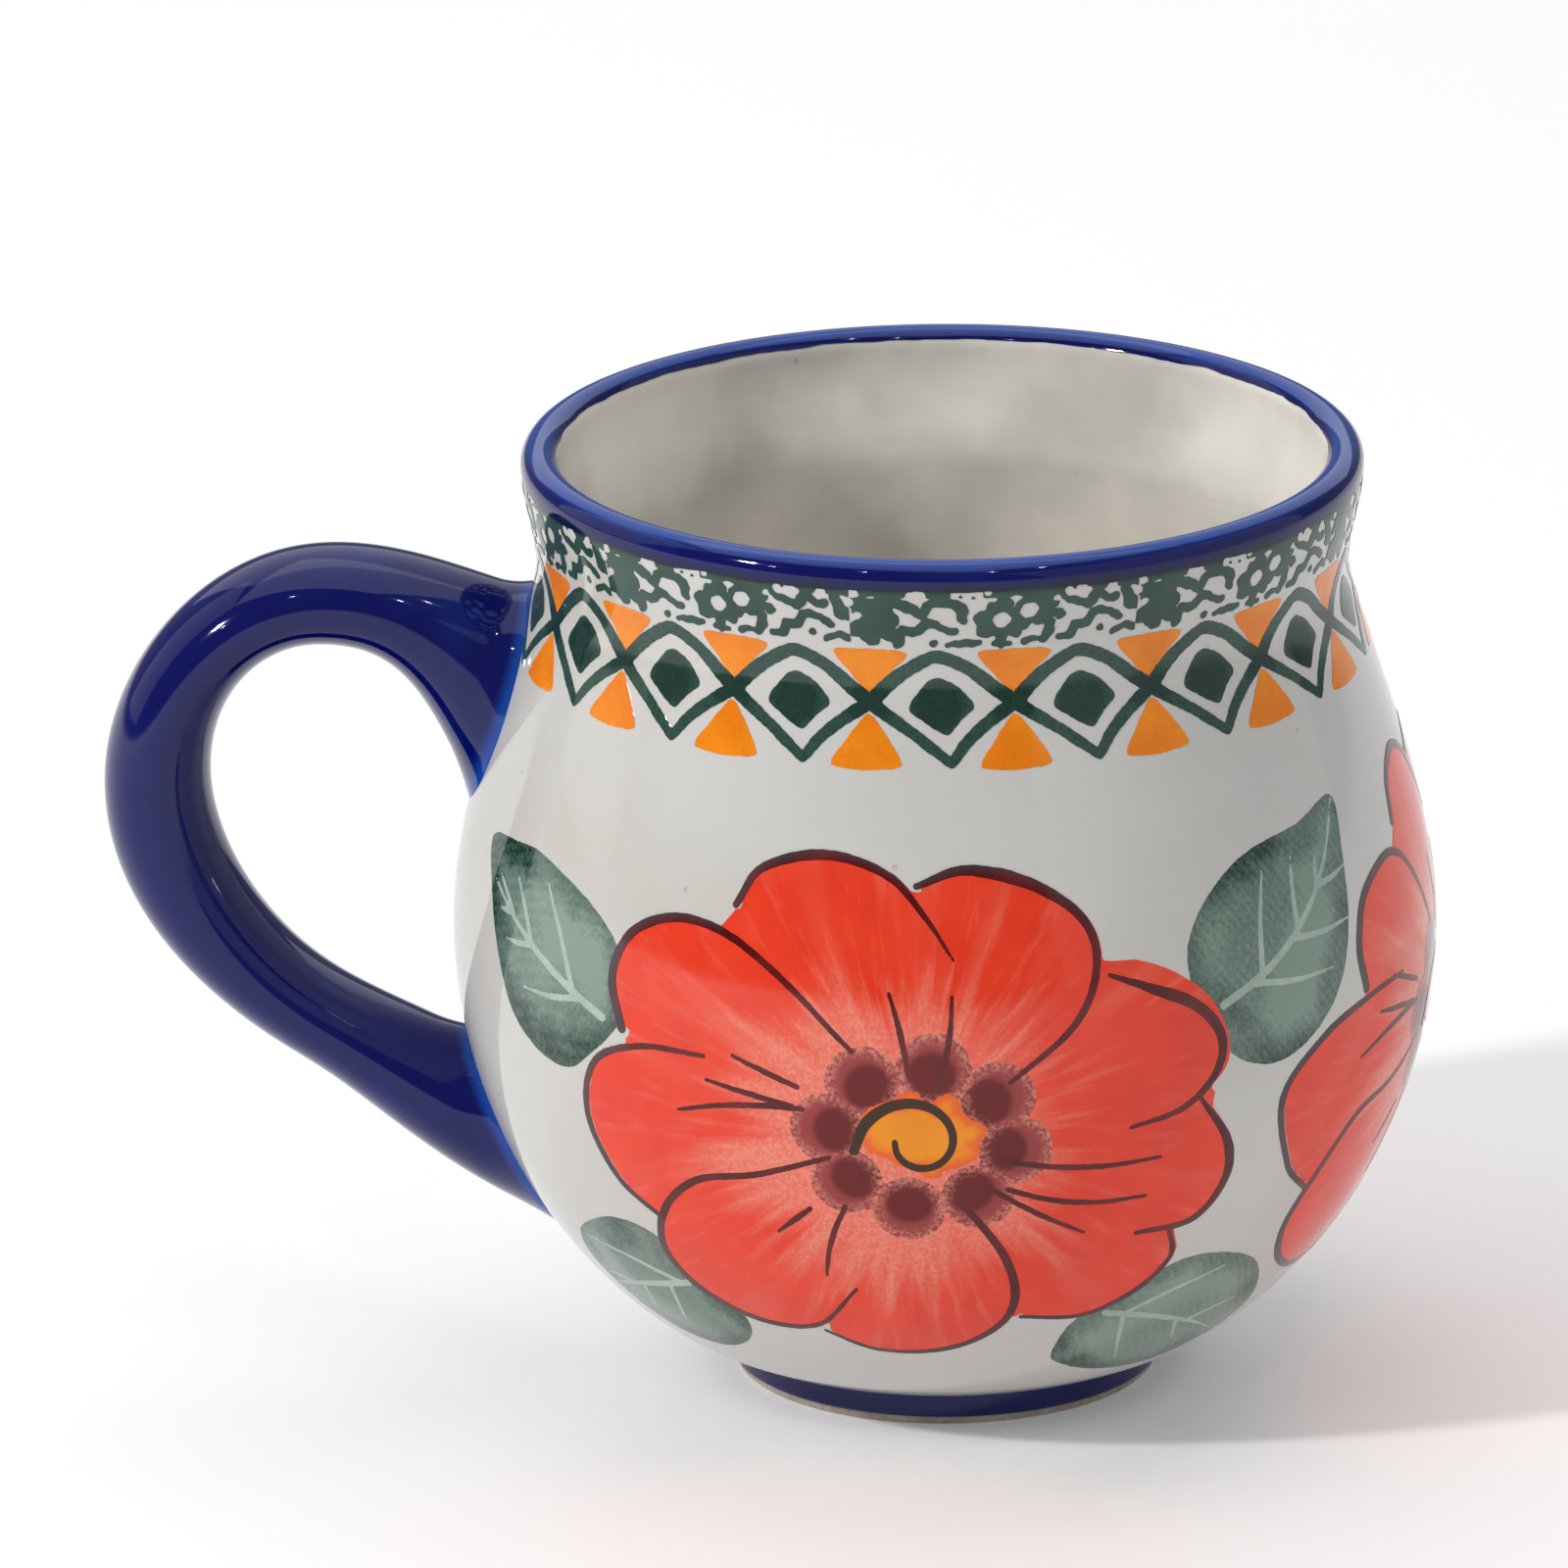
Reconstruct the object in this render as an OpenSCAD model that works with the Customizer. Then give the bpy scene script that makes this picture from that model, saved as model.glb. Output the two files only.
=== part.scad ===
// A belly mug in glazed stoneware, with a pulled handle luted on with slip.
// The axis of the mug is Z, the table is the plane z = 0, and the handle points along -X.
// The clay pieces carry thin glaze coats that lie on them face to face.

/* [Body] */
// Height of the mug, from the table to the top of the lip
mug_h = 93; // [84:0.5:115]
// Outside diameter at the widest part of the belly
belly_d = 95; // [80:0.5:116]
// Height of the widest part of the belly
belly_z = 45; // [38:0.5:52]
// Outside diameter at the narrowest part of the neck
neck_d = 78; // [64:0.2:94]
// Distance from the top of the lip down to the narrowest part of the neck
neck_drop = 11.8; // [9:0.2:16]
// Wall thickness at the belly, with its glaze
wall = 4; // [3:0.1:5.5]
// Wall thickness at the neck, with its glaze
neck_wall = 3.7; // [3:0.1:5]
// Thickness of the floor, with the glaze inside the mug
floor_t = 5.2; // [3.5:0.1:8]
// Diameter of the flat part of the floor, inside the mug
floor_d = 28; // [20:1:34]

/* [Lip] */
// Outside diameter of the lip
lip_d = 80.8; // [66:0.2:97]
// Radius of the rounded edge of the lip
lip_round = 1.75; // [1.4:0.05:2.4]

/* [Foot] */
// Outside diameter of the foot ring, with its glaze
foot_d = 41.6; // [34:0.2:50]
// Height of the foot ring
foot_h = 3.4; // [2.4:0.1:5]
// Width of the foot ring
foot_w = 4.6; // [3:0.1:6.5]
// Chamfer on the foot ring's lower edges
foot_chamfer = 0.5; // [0.2:0.1:0.9]

/* [Handle] */
// Distance from the widest part of the belly out to the handle's outermost point
handle_reach = 33.7; // [28:0.1:42]
// Height of the handle's crest
handle_top = 82.5; // [76:0.5:88]
// Thickness of the handle at its crest
crest_t = 9.5; // [7:0.1:12]
// Height of the outermost point of the handle
bend_z = 58.5; // [52:0.5:64]
// Thickness of the handle at its outermost point
bend_t = 10.4; // [8:0.1:13]
// Height of the handle's lower side where it starts to run down to the belly
elbow_z = 31; // [27:0.5:36]
// Thickness of the handle above that point
elbow_t = 8.8; // [7:0.1:11]
// Height of the tail where the handle's lower side runs into the belly
tail_z = 12.5; // [10:0.5:17]
// Width of the handle
handle_w = 13.6; // [10:0.1:17]
// Width of the handle's flared roots
root_w = 18; // [14:0.2:22]
// Thickness of the slip between the handle and the belly
slip_t = 0.9; // [0.5:0.1:1.5]

/* [Glaze] */
// Thickness of every glaze coat
glaze_t = 0.4; // [0.2:0.05:0.6]
// Height on the outside of the lip that the coloured rim band covers
rim_band_out = 4; // [2:0.2:7]
// Height on the inside of the lip that the coloured rim band covers
rim_band_in = 2.6; // [2:0.2:5]
// Height of the foot ring's bare edge, below its glaze
bare_h = 0.9; // [0.9:0.1:1.6]

/* [Hidden] */

$fn = 96;
curve_steps = 12;      // chords in each curve of the mug's outline
lip_steps = 12;        // chords round the lip
ring_steps = 8;        // rings in each of the handle's four curves
ring_points = 22;      // corners round each ring of the handle

belly_r = belly_d / 2;
neck_r = neck_d / 2;
neck_z = mug_h - neck_drop;
lip_r = lip_d / 2;
lip_c = [lip_r - lip_round, mug_h - lip_round];
foot_r = foot_d / 2;
foot_in_r = foot_r - foot_w;
foot_clay_r = foot_r - glaze_t;
floor_z = foot_h + floor_t;

// Points along a cubic curve
function mix4(a, b, c, d, t) =
    pow(1 - t, 3) * a + 3 * pow(1 - t, 2) * t * b + 3 * (1 - t) * t * t * c + pow(t, 3) * d;
function curve(p, n, first = 0) =
    [for (i = [first:n]) mix4(p[0], p[1], p[2], p[3], i / n)];

// A curve between two upright tangents; the pulls are shares of its height
function upright_curve(a, b, pull_a, pull_b, n) =
    let (rise = b.y - a.y)
    curve([a, a + [0, pull_a * rise], b - [0, pull_b * rise], b], n, 1);

// The outline that the finished glaze shows, from the foot up over the lip and down to the floor
under_belly = curve([
    [foot_r, foot_h],
    [foot_r + 0.43 * (belly_r - foot_r), foot_h + 0.047 * (belly_z - foot_h)],
    [belly_r, belly_z - 0.53 * (belly_z - foot_h)],
    [belly_r, belly_z]
], curve_steps);
upper_belly = upright_curve([belly_r, belly_z], [neck_r, neck_z], 0.38, 0.12, curve_steps);
flare_out = upright_curve([neck_r, neck_z], [lip_r, lip_c.y], 0.42, 0.38, curve_steps);
lip_arc = [for (i = [1:lip_steps])
    lip_c + lip_round * [cos(180 * i / lip_steps), sin(180 * i / lip_steps)]];
neck_in = [neck_r - neck_wall, neck_z];
belly_in = [belly_r - wall, belly_z];
flare_in = upright_curve([lip_c.x - lip_round, lip_c.y], neck_in, 0.38, 0.42, curve_steps);
upper_inside = upright_curve(neck_in, belly_in, 0.12, 0.38, curve_steps);
lower_inside = curve([
    belly_in,
    [belly_in.x, belly_z - 0.53 * (belly_z - floor_z)],
    [floor_d / 2 + 0.5 * (belly_in.x - floor_d / 2), floor_z],
    [floor_d / 2, floor_z]
], curve_steps, 1);
skin = concat(
    under_belly, upper_belly, flare_out, lip_arc, flare_in, upper_inside, lower_inside,
    [[0, floor_z]]);
last = len(skin) - 1;

// The same outline moved sideways: inwards to the clay for a negative distance
function side_of(i) =
    let (d = skin[min(i + 1, last)] - skin[max(i - 1, 0)])
    [d.y, -d.x] / norm(d);
function moved(i, by) = skin[i] + by * side_of(i);
function run(a, b, by = 0) = [for (i = [a:b]) moved(i, by)];
function back(a, b, by = 0) = [for (i = [b:-1:a]) moved(i, by)];

// Where the coloured rim band starts and ends along the outline
lip_start = 3 * curve_steps;
lip_end = lip_start + lip_steps;
band_low = max([for (i = [0:lip_start]) if (skin[i].y <= mug_h - rim_band_out) i]);
band_in = min([for (i = [lip_end:last]) if (skin[i].y <= mug_h - rim_band_in) i]);

module turned(points) {
    rotate_extrude() polygon(points);
}

// A glaze coat on the stretch of the outline from point a to point b
module coat(a, b) {
    turned(concat(run(a, b), back(a, b, -glaze_t)));
}

// Everything inside the outer wall, from a plane below the foot to above the lip
module filled_body(by) {
    turned(concat([[0, foot_h]], run(0, lip_start, by), [[0, lip_c.y]]));
}

// The handle's side view: matched curves for its outer and its inner side
crest_out = [belly_r + 11.5, handle_top];
bend_out = [belly_r + handle_reach, bend_z];
elbow_out = [belly_r + 14.5, elbow_z];
crest_in = crest_out + [1, -crest_t];
bend_in = bend_out + [-bend_t, 1.3];
elbow_in = elbow_out + elbow_t * [-0.45, 0.89];
elbow_run = [0.862, 0.507];     // direction of the handle at its elbow
outer_side = concat(
    curve([[neck_r - 3.8, handle_top - 5.8], crest_out - [15, 3.8],
        crest_out - [9, 0], crest_out], ring_steps),
    curve([crest_out, crest_out + [0.54 * (bend_out.x - crest_out.x), 0],
        bend_out + [0, 0.5 * (handle_top - bend_z)], bend_out], ring_steps, 1),
    curve([bend_out, bend_out - [0, 0.48 * (bend_z - elbow_z)],
        elbow_out + 9.9 * elbow_run, elbow_out], ring_steps, 1),
    curve([elbow_out, elbow_out - 8.2 * elbow_run,
        [belly_r - 3.5, tail_z + 1], [foot_r + 7, tail_z]], ring_steps, 1));
inner_side = concat(
    curve([[belly_r - 6.5, belly_z + 1], [belly_r + 1.5, handle_top - crest_t - 5.5],
        crest_in - [9, 0], crest_in], ring_steps),
    curve([crest_in, crest_in + [0.52 * (bend_in.x - crest_in.x), 0],
        bend_in + [0, 0.6 * (crest_in.y - bend_in.y)], bend_in], ring_steps, 1),
    curve([bend_in, bend_in - [0, 0.35 * (bend_in.y - elbow_in.y)],
        elbow_in + 8.6 * elbow_run, elbow_in], ring_steps, 1),
    curve([elbow_in, elbow_in - 7.2 * elbow_run,
        [belly_r - 1.5, elbow_z + 2.8], [belly_r - 9.5, elbow_z - 3.5]], ring_steps, 1));
last_ring = len(outer_side) - 1;

// The share of the root's flare that a ring has
function flare(i) = pow(max(0, 1 - min(i, last_ring - i) / ring_steps), 2);

// One oval ring of the handle, smaller all round by the inset
function ring(i, inset) =
    let (o = outer_side[i], n = inner_side[i], mid = (o + n) / 2,
        half = (o - n) / 2 * (1 - 2 * inset / norm(o - n)),
        half_w = (handle_w + (root_w - handle_w) * flare(i)) / 2 - inset)
    [for (k = [0:ring_points - 1])
        let (a = 360 * k / ring_points, p = mid + half * cos(a))
        [-p.x, half_w * sin(a), p.y]];

// The handle as one closed sweep that runs on into the wall at both ends
module handle_sweep(inset) {
    points = [for (i = [0:last_ring]) each ring(i, inset)];
    sides = [for (i = [0:last_ring - 1], k = [0:ring_points - 1])
        let (a = i * ring_points + k, b = i * ring_points + (k + 1) % ring_points)
        each [[a, a + ring_points, b], [b, a + ring_points, b + ring_points]]];
    first_end = [for (k = [0:ring_points - 1]) k];
    last_end = [for (k = [ring_points - 1:-1:0]) last_ring * ring_points + k];
    polyhedron(points, concat(sides, [first_end, last_end]));
}

// A slab of slip that follows the wall, cut to the handle's root
module slip_joint(low, high) {
    intersection() {
        handle_sweep(glaze_t);
        difference() {
            filled_body(slip_t - glaze_t);
            filled_body(-glaze_t);
        }
        translate([-belly_d, -root_w, low]) cube([belly_d, 2 * root_w, high - low]);
    }
}

module clay_body() {
    color("tan")
    turned(concat([[0, foot_h], [foot_r, foot_h]], run(0, last, -glaze_t)));
}

module foot_ring() {
    color("peru")
    turned([
        [foot_in_r + foot_chamfer, 0], [foot_clay_r - foot_chamfer, 0],
        [foot_clay_r, foot_chamfer], [foot_clay_r, foot_h],
        [foot_in_r, foot_h], [foot_in_r, foot_chamfer]
    ]);
}

module handle_core() {
    color("burlywood")
    difference() {
        handle_sweep(glaze_t);
        filled_body(slip_t - glaze_t);
    }
}

module upper_slip_joint() {
    color("wheat") slip_joint(belly_z, mug_h);
}

module lower_slip_joint() {
    color("wheat") slip_joint(0, belly_z);
}

module liner_glaze() {
    color("ivory") coat(band_in, last);
}

module rim_glaze() {
    color("midnightblue") coat(band_low, band_in);
}

module outer_glaze() {
    color("ivory")
    difference() {
        coat(0, band_low);
        handle_sweep(0);
    }
}

module foot_glaze() {
    color("midnightblue")
    turned([[foot_clay_r, bare_h], [foot_r, bare_h], [foot_r, foot_h], [foot_clay_r, foot_h]]);
}

module base_glaze() {
    color("ivory")
    translate([0, 0, foot_h - glaze_t]) cylinder(r = foot_in_r, h = glaze_t);
}

module handle_glaze() {
    color("navy")
    difference() {
        handle_sweep(0);
        handle_sweep(glaze_t);
        filled_body(-glaze_t);
    }
}

clay_body();
foot_ring();
handle_core();
upper_slip_joint();
lower_slip_joint();
liner_glaze();
rim_glaze();
outer_glaze();
foot_glaze();
base_glaze();
handle_glaze();
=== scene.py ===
"""The looks of a hand-painted stoneware belly mug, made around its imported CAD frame.

The wall, liner, rim and foot are turned coats of glaze. The painted flowers, leaves, diamond chain
and stamped collar are drawn flat, in millimetres, and wrapped round the wall as thin layers of paint.
"""

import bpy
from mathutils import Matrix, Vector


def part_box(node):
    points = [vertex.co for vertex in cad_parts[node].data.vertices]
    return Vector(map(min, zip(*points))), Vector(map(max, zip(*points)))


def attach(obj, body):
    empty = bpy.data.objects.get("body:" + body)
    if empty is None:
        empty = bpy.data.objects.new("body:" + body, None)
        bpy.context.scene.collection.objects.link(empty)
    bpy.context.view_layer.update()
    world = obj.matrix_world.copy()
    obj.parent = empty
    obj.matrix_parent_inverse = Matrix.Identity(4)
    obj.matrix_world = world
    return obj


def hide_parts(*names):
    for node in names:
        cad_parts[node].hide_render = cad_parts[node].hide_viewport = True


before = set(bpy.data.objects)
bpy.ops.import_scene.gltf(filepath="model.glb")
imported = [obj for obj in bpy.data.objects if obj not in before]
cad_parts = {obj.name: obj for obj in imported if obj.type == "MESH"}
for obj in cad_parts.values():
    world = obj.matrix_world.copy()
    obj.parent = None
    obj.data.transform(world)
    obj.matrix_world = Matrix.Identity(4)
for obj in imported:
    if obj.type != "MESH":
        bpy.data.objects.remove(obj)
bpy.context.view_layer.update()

import math

import bmesh
import bpy
import numpy as np
from bpy.props import FloatProperty, FloatVectorProperty, IntProperty, PointerProperty
from mathutils import Matrix, Vector

bl_info = {
    "name": "Painted belly mug",
    "version": (1, 0, 0),
    "blender": (4, 5, 0),
    "location": "View3D > Sidebar > Mug",
    "description": "Glazed and hand-painted looks for a stoneware belly mug",
    "category": "Object",
}

MM = 0.001
BODY = "root"
BAKE_UV = "OFBake"
CHAIN_COUNT = 18
COLLAR_COUNT = 9
FLOWER_COUNT = 3
FLOWER_PITCH = math.radians(90)


def top_of(node):
    """Height of a CAD node's highest point."""
    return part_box(node)[1].z


def radius_of(node):
    """Outside radius of a CAD node that is turned about the mug's axis."""
    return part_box(node)[1].x


def size(name, description, default):
    """A length that the user can change."""
    return FloatProperty(name=name, description=description, default=default, unit="LENGTH",
                         precision=5)


def tint(name, description, red, green, blue):
    """A colour that the user can change, given in screen values from 0 to 255."""
    return FloatVectorProperty(name=name, description=description, default=linear(red, green, blue),
                               subtype="COLOR", size=3, min=0, max=1)


def linear(red, green, blue):
    """Turns screen values from 0 to 255 into linear light."""
    shares = [value / 255 for value in (red, green, blue)]
    return tuple(s / 12.92 if s <= 0.04045 else ((s + 0.055) / 1.055) ** 2.4 for s in shares)


# ---------------------------------------------------------------- sizes and colours

class MugShape(bpy.types.PropertyGroup):
    height: size("Height", "Top of the lip above the table", top_of("rim_glaze"))
    belly_radius: size("Belly radius", "Radius at the widest circle", radius_of("outer_glaze"))
    belly_height: size("Belly height", "Height of the widest circle", 45 * MM)
    neck_radius: size("Neck radius", "Radius at the narrowest circle", 39 * MM)
    neck_drop: size("Neck drop", "From the lip's top down to the neck", 11.8 * MM)
    lip_radius: size("Lip radius", "Outside radius of the lip", 40.4 * MM)
    lip_round: size("Lip rounding", "Radius of the lip's round edge", 1.75 * MM)
    wall: size("Wall", "Wall thickness at the belly", 4 * MM)
    neck_wall: size("Neck wall", "Wall thickness at the neck", 3.7 * MM)
    floor_height: size("Floor height", "Height of the floor inside the mug", 8.6 * MM)
    floor_radius: size("Floor radius", "Radius of the floor's flat part", 14 * MM)
    foot_radius: size("Foot radius", "Outside radius of the foot", radius_of("foot_glaze"))
    foot_height: size("Foot height", "Height of the foot ring", top_of("foot_ring"))
    foot_width: size("Foot width", "Width of the foot ring", 4.6 * MM)
    bare_height: size("Bare edge", "Height of the foot's unglazed edge",
                      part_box("foot_glaze")[0].z)
    glaze: size("Glaze", "Thickness of a coat of glaze", 0.4 * MM)
    around: IntProperty(name="Around", description="Facets round a turned coat", default=480)


class HandleShape(bpy.types.PropertyGroup):
    reach: size("Reach", "From the axis out to the outermost point", -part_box("handle_glaze")[0].x)
    crest_height: size("Crest height", "Height of the crest", 82.5 * MM)
    crest_thickness: size("Crest thickness", "Thickness at the crest", 9.5 * MM)
    bend_height: size("Bend height", "Height of the outermost point", 58.5 * MM)
    bend_thickness: size("Bend thickness", "Thickness at the outermost point", 10.4 * MM)
    elbow_height: size("Elbow height", "Height where it turns down to the belly", 31 * MM)
    elbow_thickness: size("Elbow thickness", "Thickness at the elbow", 8.8 * MM)
    tail_height: size("Tail height", "Height of the tail on the belly", 12.5 * MM)
    width: size("Width", "Width of the handle", 13.6 * MM)
    root_width: size("Root width", "Width of its flared roots", 18 * MM)
    fillet: size("Fillet", "How far the glaze swells where it meets the wall", 0.8 * MM)


class PaintSizes(bpy.types.PropertyGroup):
    depth: size("Depth", "How deep a layer of paint reaches into the glaze", 0.1 * MM)
    lift: size("Lift", "How far one layer of paint lies above the next", 0.012 * MM)
    rim_edge: size("Rim edge", "Distance along the wall from the belly up to the rim band",
                   46.7 * MM)
    rim_wobble: size("Rim wobble", "Unevenness of the rim band's edges", 0.9 * MM)
    foot_wobble: size("Foot wobble", "Unevenness of the foot band's edge", 0.7 * MM)


class MugColours(bpy.types.PropertyGroup):
    white: tint("White glaze", "The clear glaze over pale clay", 206, 204, 201)
    # Partly the inside glaze's own white, partly painted light: it is set lighter and warmer than the
    # outside white of the same glaze, to stand in for the light and warm bounce inside the mug.
    liner: tint("Liner", "The clear glaze inside the mug", 243, 239, 231)
    white_shade: tint("White glaze, thick", "Where the white glaze pools", 199, 196, 190)
    clay: tint("Stoneware", "The bare clay", 190, 181, 167)
    clay_dark: tint("Stoneware, dark", "Iron and grit in the bare clay", 132, 116, 102)
    cobalt: tint("Cobalt", "The blue glaze where it is thick", 2, 7, 88)
    cobalt_thin: tint("Cobalt, thin", "The blue glaze where it is thin", 16, 76, 172)
    cobalt_black: tint("Cobalt over green", "The blue glaze where it covers the stamp", 6, 22, 26)
    petal: tint("Petal", "The red paint", 234, 62, 34)
    petal_deep: tint("Petal, deep", "The red paint where it is thick", 216, 42, 24)
    petal_pale: tint("Petal, pale", "The red paint where it is washed out", 240, 158, 136)
    line_on_red: tint("Line on red", "The drawing line over the petals", 80, 6, 8)
    line_on_white: tint("Line on white", "The drawing line over white glaze", 58, 56, 62)
    bead: tint("Bead", "The dark red dabs", 150, 54, 54)
    bead_core: tint("Bead core", "The dark red dabs where they are thick", 104, 8, 12)
    heart: tint("Heart", "The yellow centre of a flower", 244, 150, 6)
    spiral: tint("Spiral", "The line in the centre of a flower", 52, 36, 16)
    leaf: tint("Leaf", "The green wash of the leaves", 128, 150, 138)
    leaf_deep: tint("Leaf, deep", "The green wash along the leaf's edge", 20, 54, 42)
    vein: tint("Vein", "The veins left pale in the leaves", 176, 192, 182)
    orange: tint("Orange", "The orange triangles", 244, 142, 18)
    orange_deep: tint("Orange, deep", "The orange triangles where thick", 228, 116, 4)
    green: tint("Green", "The chain and the stamp", 50, 80, 70)
    green_deep: tint("Green, deep", "The green where two strokes cross", 12, 40, 34)


class StageSizes(bpy.types.PropertyGroup):
    distance: size("Camera distance", "From the camera to the mug's axis", 1.85)
    aim_height: size("Aim height", "Height of the point in the picture's centre", 58.5 * MM)
    aim_side: size("Aim side", "Sideways place of the point in the picture's centre", -15.4 * MM)
    elevation: FloatProperty(name="Elevation", description="How steeply the camera looks down",
                             default=math.radians(18.03), subtype="ANGLE")
    turn: FloatProperty(name="Turn", description="How far the camera goes round the mug",
                        default=math.radians(1.5), subtype="ANGLE")
    roll: FloatProperty(name="Roll", description="Sideways lean of the camera",
                        default=math.radians(-0.42), subtype="ANGLE")
    lens: FloatProperty(name="Lens", description="Focal length in millimetres", default=440.2)
    floor: size("Floor", "Width of the floor", 12.0)


# ---------------------------------------------------------------- outline of the mug

def cubic(a, b, c, d, steps):
    """Points along a cubic curve."""
    t = np.linspace(0, 1, steps + 1)[:, None]
    a, b, c, d = (np.array(p, float) for p in (a, b, c, d))
    return (1 - t) ** 3 * a + 3 * (1 - t) ** 2 * t * b + 3 * (1 - t) * t * t * c + t ** 3 * d


def upright(a, b, pull_a, pull_b, steps):
    """A curve between two upright tangents. The pulls are shares of its height."""
    rise = b[1] - a[1]
    return cubic(a, (a[0], a[1] + pull_a * rise), (b[0], b[1] - pull_b * rise), b, steps)


class Outline:
    """The mug's outline as radius and height, from the foot over the lip to the floor's middle."""

    def __init__(self, shape):
        foot = (shape.foot_radius, shape.foot_height)
        belly = (shape.belly_radius, shape.belly_height)
        neck = (shape.neck_radius, shape.height - shape.neck_drop)
        lip = (shape.lip_radius - shape.lip_round, shape.height - shape.lip_round)
        neck_in = (neck[0] - shape.neck_wall, neck[1])
        belly_in = (belly[0] - shape.wall, belly[1])
        floor = (shape.floor_radius, shape.floor_height)
        rise = belly[1] - foot[1]
        depth = belly[1] - floor[1]
        turn = np.linspace(0, math.pi, 21)[:, None]
        lip_arc = np.array(lip) + shape.lip_round * np.hstack((np.cos(turn), np.sin(turn)))
        stretches = {
            "belly": cubic(foot, (foot[0] + 0.43 * (belly[0] - foot[0]), foot[1] + 0.047 * rise),
                           (belly[0], belly[1] - 0.53 * rise), belly, 80),
            "neck": upright(belly, neck, 0.38, 0.12, 60),
            "lip": upright(neck, (shape.lip_radius, lip[1]), 0.42, 0.38, 24),
            "lip_inside": lip_arc,
            "neck_inside": upright((lip[0] - shape.lip_round, lip[1]), neck_in, 0.38, 0.42, 24),
            "belly_inside": upright(neck_in, belly_in, 0.12, 0.38, 46),
            "floor": cubic(belly_in, (belly_in[0], belly_in[1] - 0.53 * depth),
                           (floor[0] + 0.5 * (belly_in[0] - floor[0]), floor[1]), floor, 60),
            "middle": cubic(floor, (floor[0] * 0.7, floor[1]), (floor[0] * 0.3, floor[1]),
                            (0, floor[1]), 12),
        }
        points = [np.array([foot])]
        self.at = {"foot": 0.0}
        total = 0.0
        for name, stretch in stretches.items():
            points.append(stretch[1:])
            total += np.hypot(*np.diff(stretch, axis=0).T).sum()
            self.at[name] = total
        self.points = np.vstack(points)
        steps = np.hypot(*np.diff(self.points, axis=0).T)
        self.length = np.concatenate(([0], np.cumsum(steps)))
        way = np.gradient(self.points, self.length, axis=0)
        way /= np.linalg.norm(way, axis=1)[:, None]
        self.normal = np.column_stack((way[:, 1], -way[:, 0]))

    def place(self, length):
        """Radius and height at a length along the outline."""
        return np.column_stack([np.interp(length, self.length, self.points[:, k]) for k in (0, 1)])

    def facing(self, length):
        """Outward direction at a length along the outline."""
        return np.column_stack([np.interp(length, self.length, self.normal[:, k]) for k in (0, 1)])

    def stretch(self, start, end):
        """The lengths of the outline's points from start to end, with both ends."""
        between = self.length[(self.length > start + 1e-5) & (self.length < end - 1e-5)]
        return np.concatenate(([start], between, [end]))

    def coat(self, start, end, lift, thickness):
        """A closed loop round a coat that lies on the outline, and where each point is baked."""
        face = self.stretch(start, end)
        back = np.linspace(end, start, 1 + max(4, len(face) // 8))
        outer = self.place(face) + lift * self.facing(face)
        inner = self.place(back) + (lift - thickness) * self.facing(back)
        inner[:, 0] = np.maximum(inner[:, 0], 0)
        outer[:, 0] = np.maximum(outer[:, 0], 0)
        return np.vstack((outer, inner)), len(face), np.concatenate((face, back))


# ---------------------------------------------------------------- helpers for node trees

def add(tree, kind, settings=None, **inputs):
    """Adds a node, sets its options, and feeds its inputs with values or with other sockets."""
    made = tree.nodes.new(kind)
    for key, value in (settings or {}).items():
        setattr(made, key, value)
    for key, value in inputs.items():
        socket = made.inputs[int(key[1:])] if key[1:].isdigit() else made.inputs[key.replace("_", " ")]
        if isinstance(value, bpy.types.NodeSocket):
            tree.links.new(value, socket)
        else:
            socket.default_value = value
    return made


def maths(tree, operation, a, b=0.0, c=0.0):
    """A sum on two or three values."""
    return add(tree, "ShaderNodeMath", {"operation": operation}, n0=a, n1=b, n2=c).outputs[0]


def blend(tree, share, a, b):
    """A colour between a and b."""
    colours = {}
    for key, value in (("n6", a), ("n7", b)):
        colours[key] = value if isinstance(value, bpy.types.NodeSocket) else (*value, 1)
    mixer = add(tree, "ShaderNodeMix", {"data_type": "RGBA"}, n0=share, **colours)
    return mixer.outputs[2]


def ramp(tree, value, low, high, to_low=0.0, to_high=1.0):
    """Maps a value smoothly from one range to another."""
    made = add(tree, "ShaderNodeMapRange", {"interpolation_type": "SMOOTHSTEP"}, Value=value,
               From_Min=low, From_Max=high, To_Min=to_low, To_Max=to_high)
    return made.outputs["Result"]


def fresh_tree(name, kind, inputs, outputs):
    """A node group with named inputs and outputs: (name, socket type, default)."""
    tree = bpy.data.node_groups.new(name, kind)
    for label, socket, default in inputs:
        made = tree.interface.new_socket(name=label, in_out="INPUT", socket_type=socket)
        if default is not None:
            made.default_value = default
    for label, socket in outputs:
        tree.interface.new_socket(name=label, in_out="OUTPUT", socket_type=socket)
    return tree, tree.nodes.new("NodeGroupInput").outputs, tree.nodes.new("NodeGroupOutput").inputs


def grown(name, tree, inputs):
    """Runs a geometry tree and keeps its result as a plain mesh."""
    piece = bpy.data.objects.new(name, bpy.data.meshes.new(name))
    bpy.context.collection.objects.link(piece)
    modifier = piece.modifiers.new("growth", "NODES")
    modifier.node_group = tree
    for item in tree.interface.items_tree:
        if item.item_type == "SOCKET" and item.in_out == "INPUT":
            modifier[item.identifier] = inputs[item.name]
    graph = bpy.context.evaluated_depsgraph_get()
    mesh = bpy.data.meshes.new_from_object(piece.evaluated_get(graph), depsgraph=graph)
    piece.modifiers.remove(modifier)
    piece.data = mesh
    mesh.name = name
    if not mesh.polygons:
        raise RuntimeError(f"{name} came out empty")
    return piece


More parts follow.
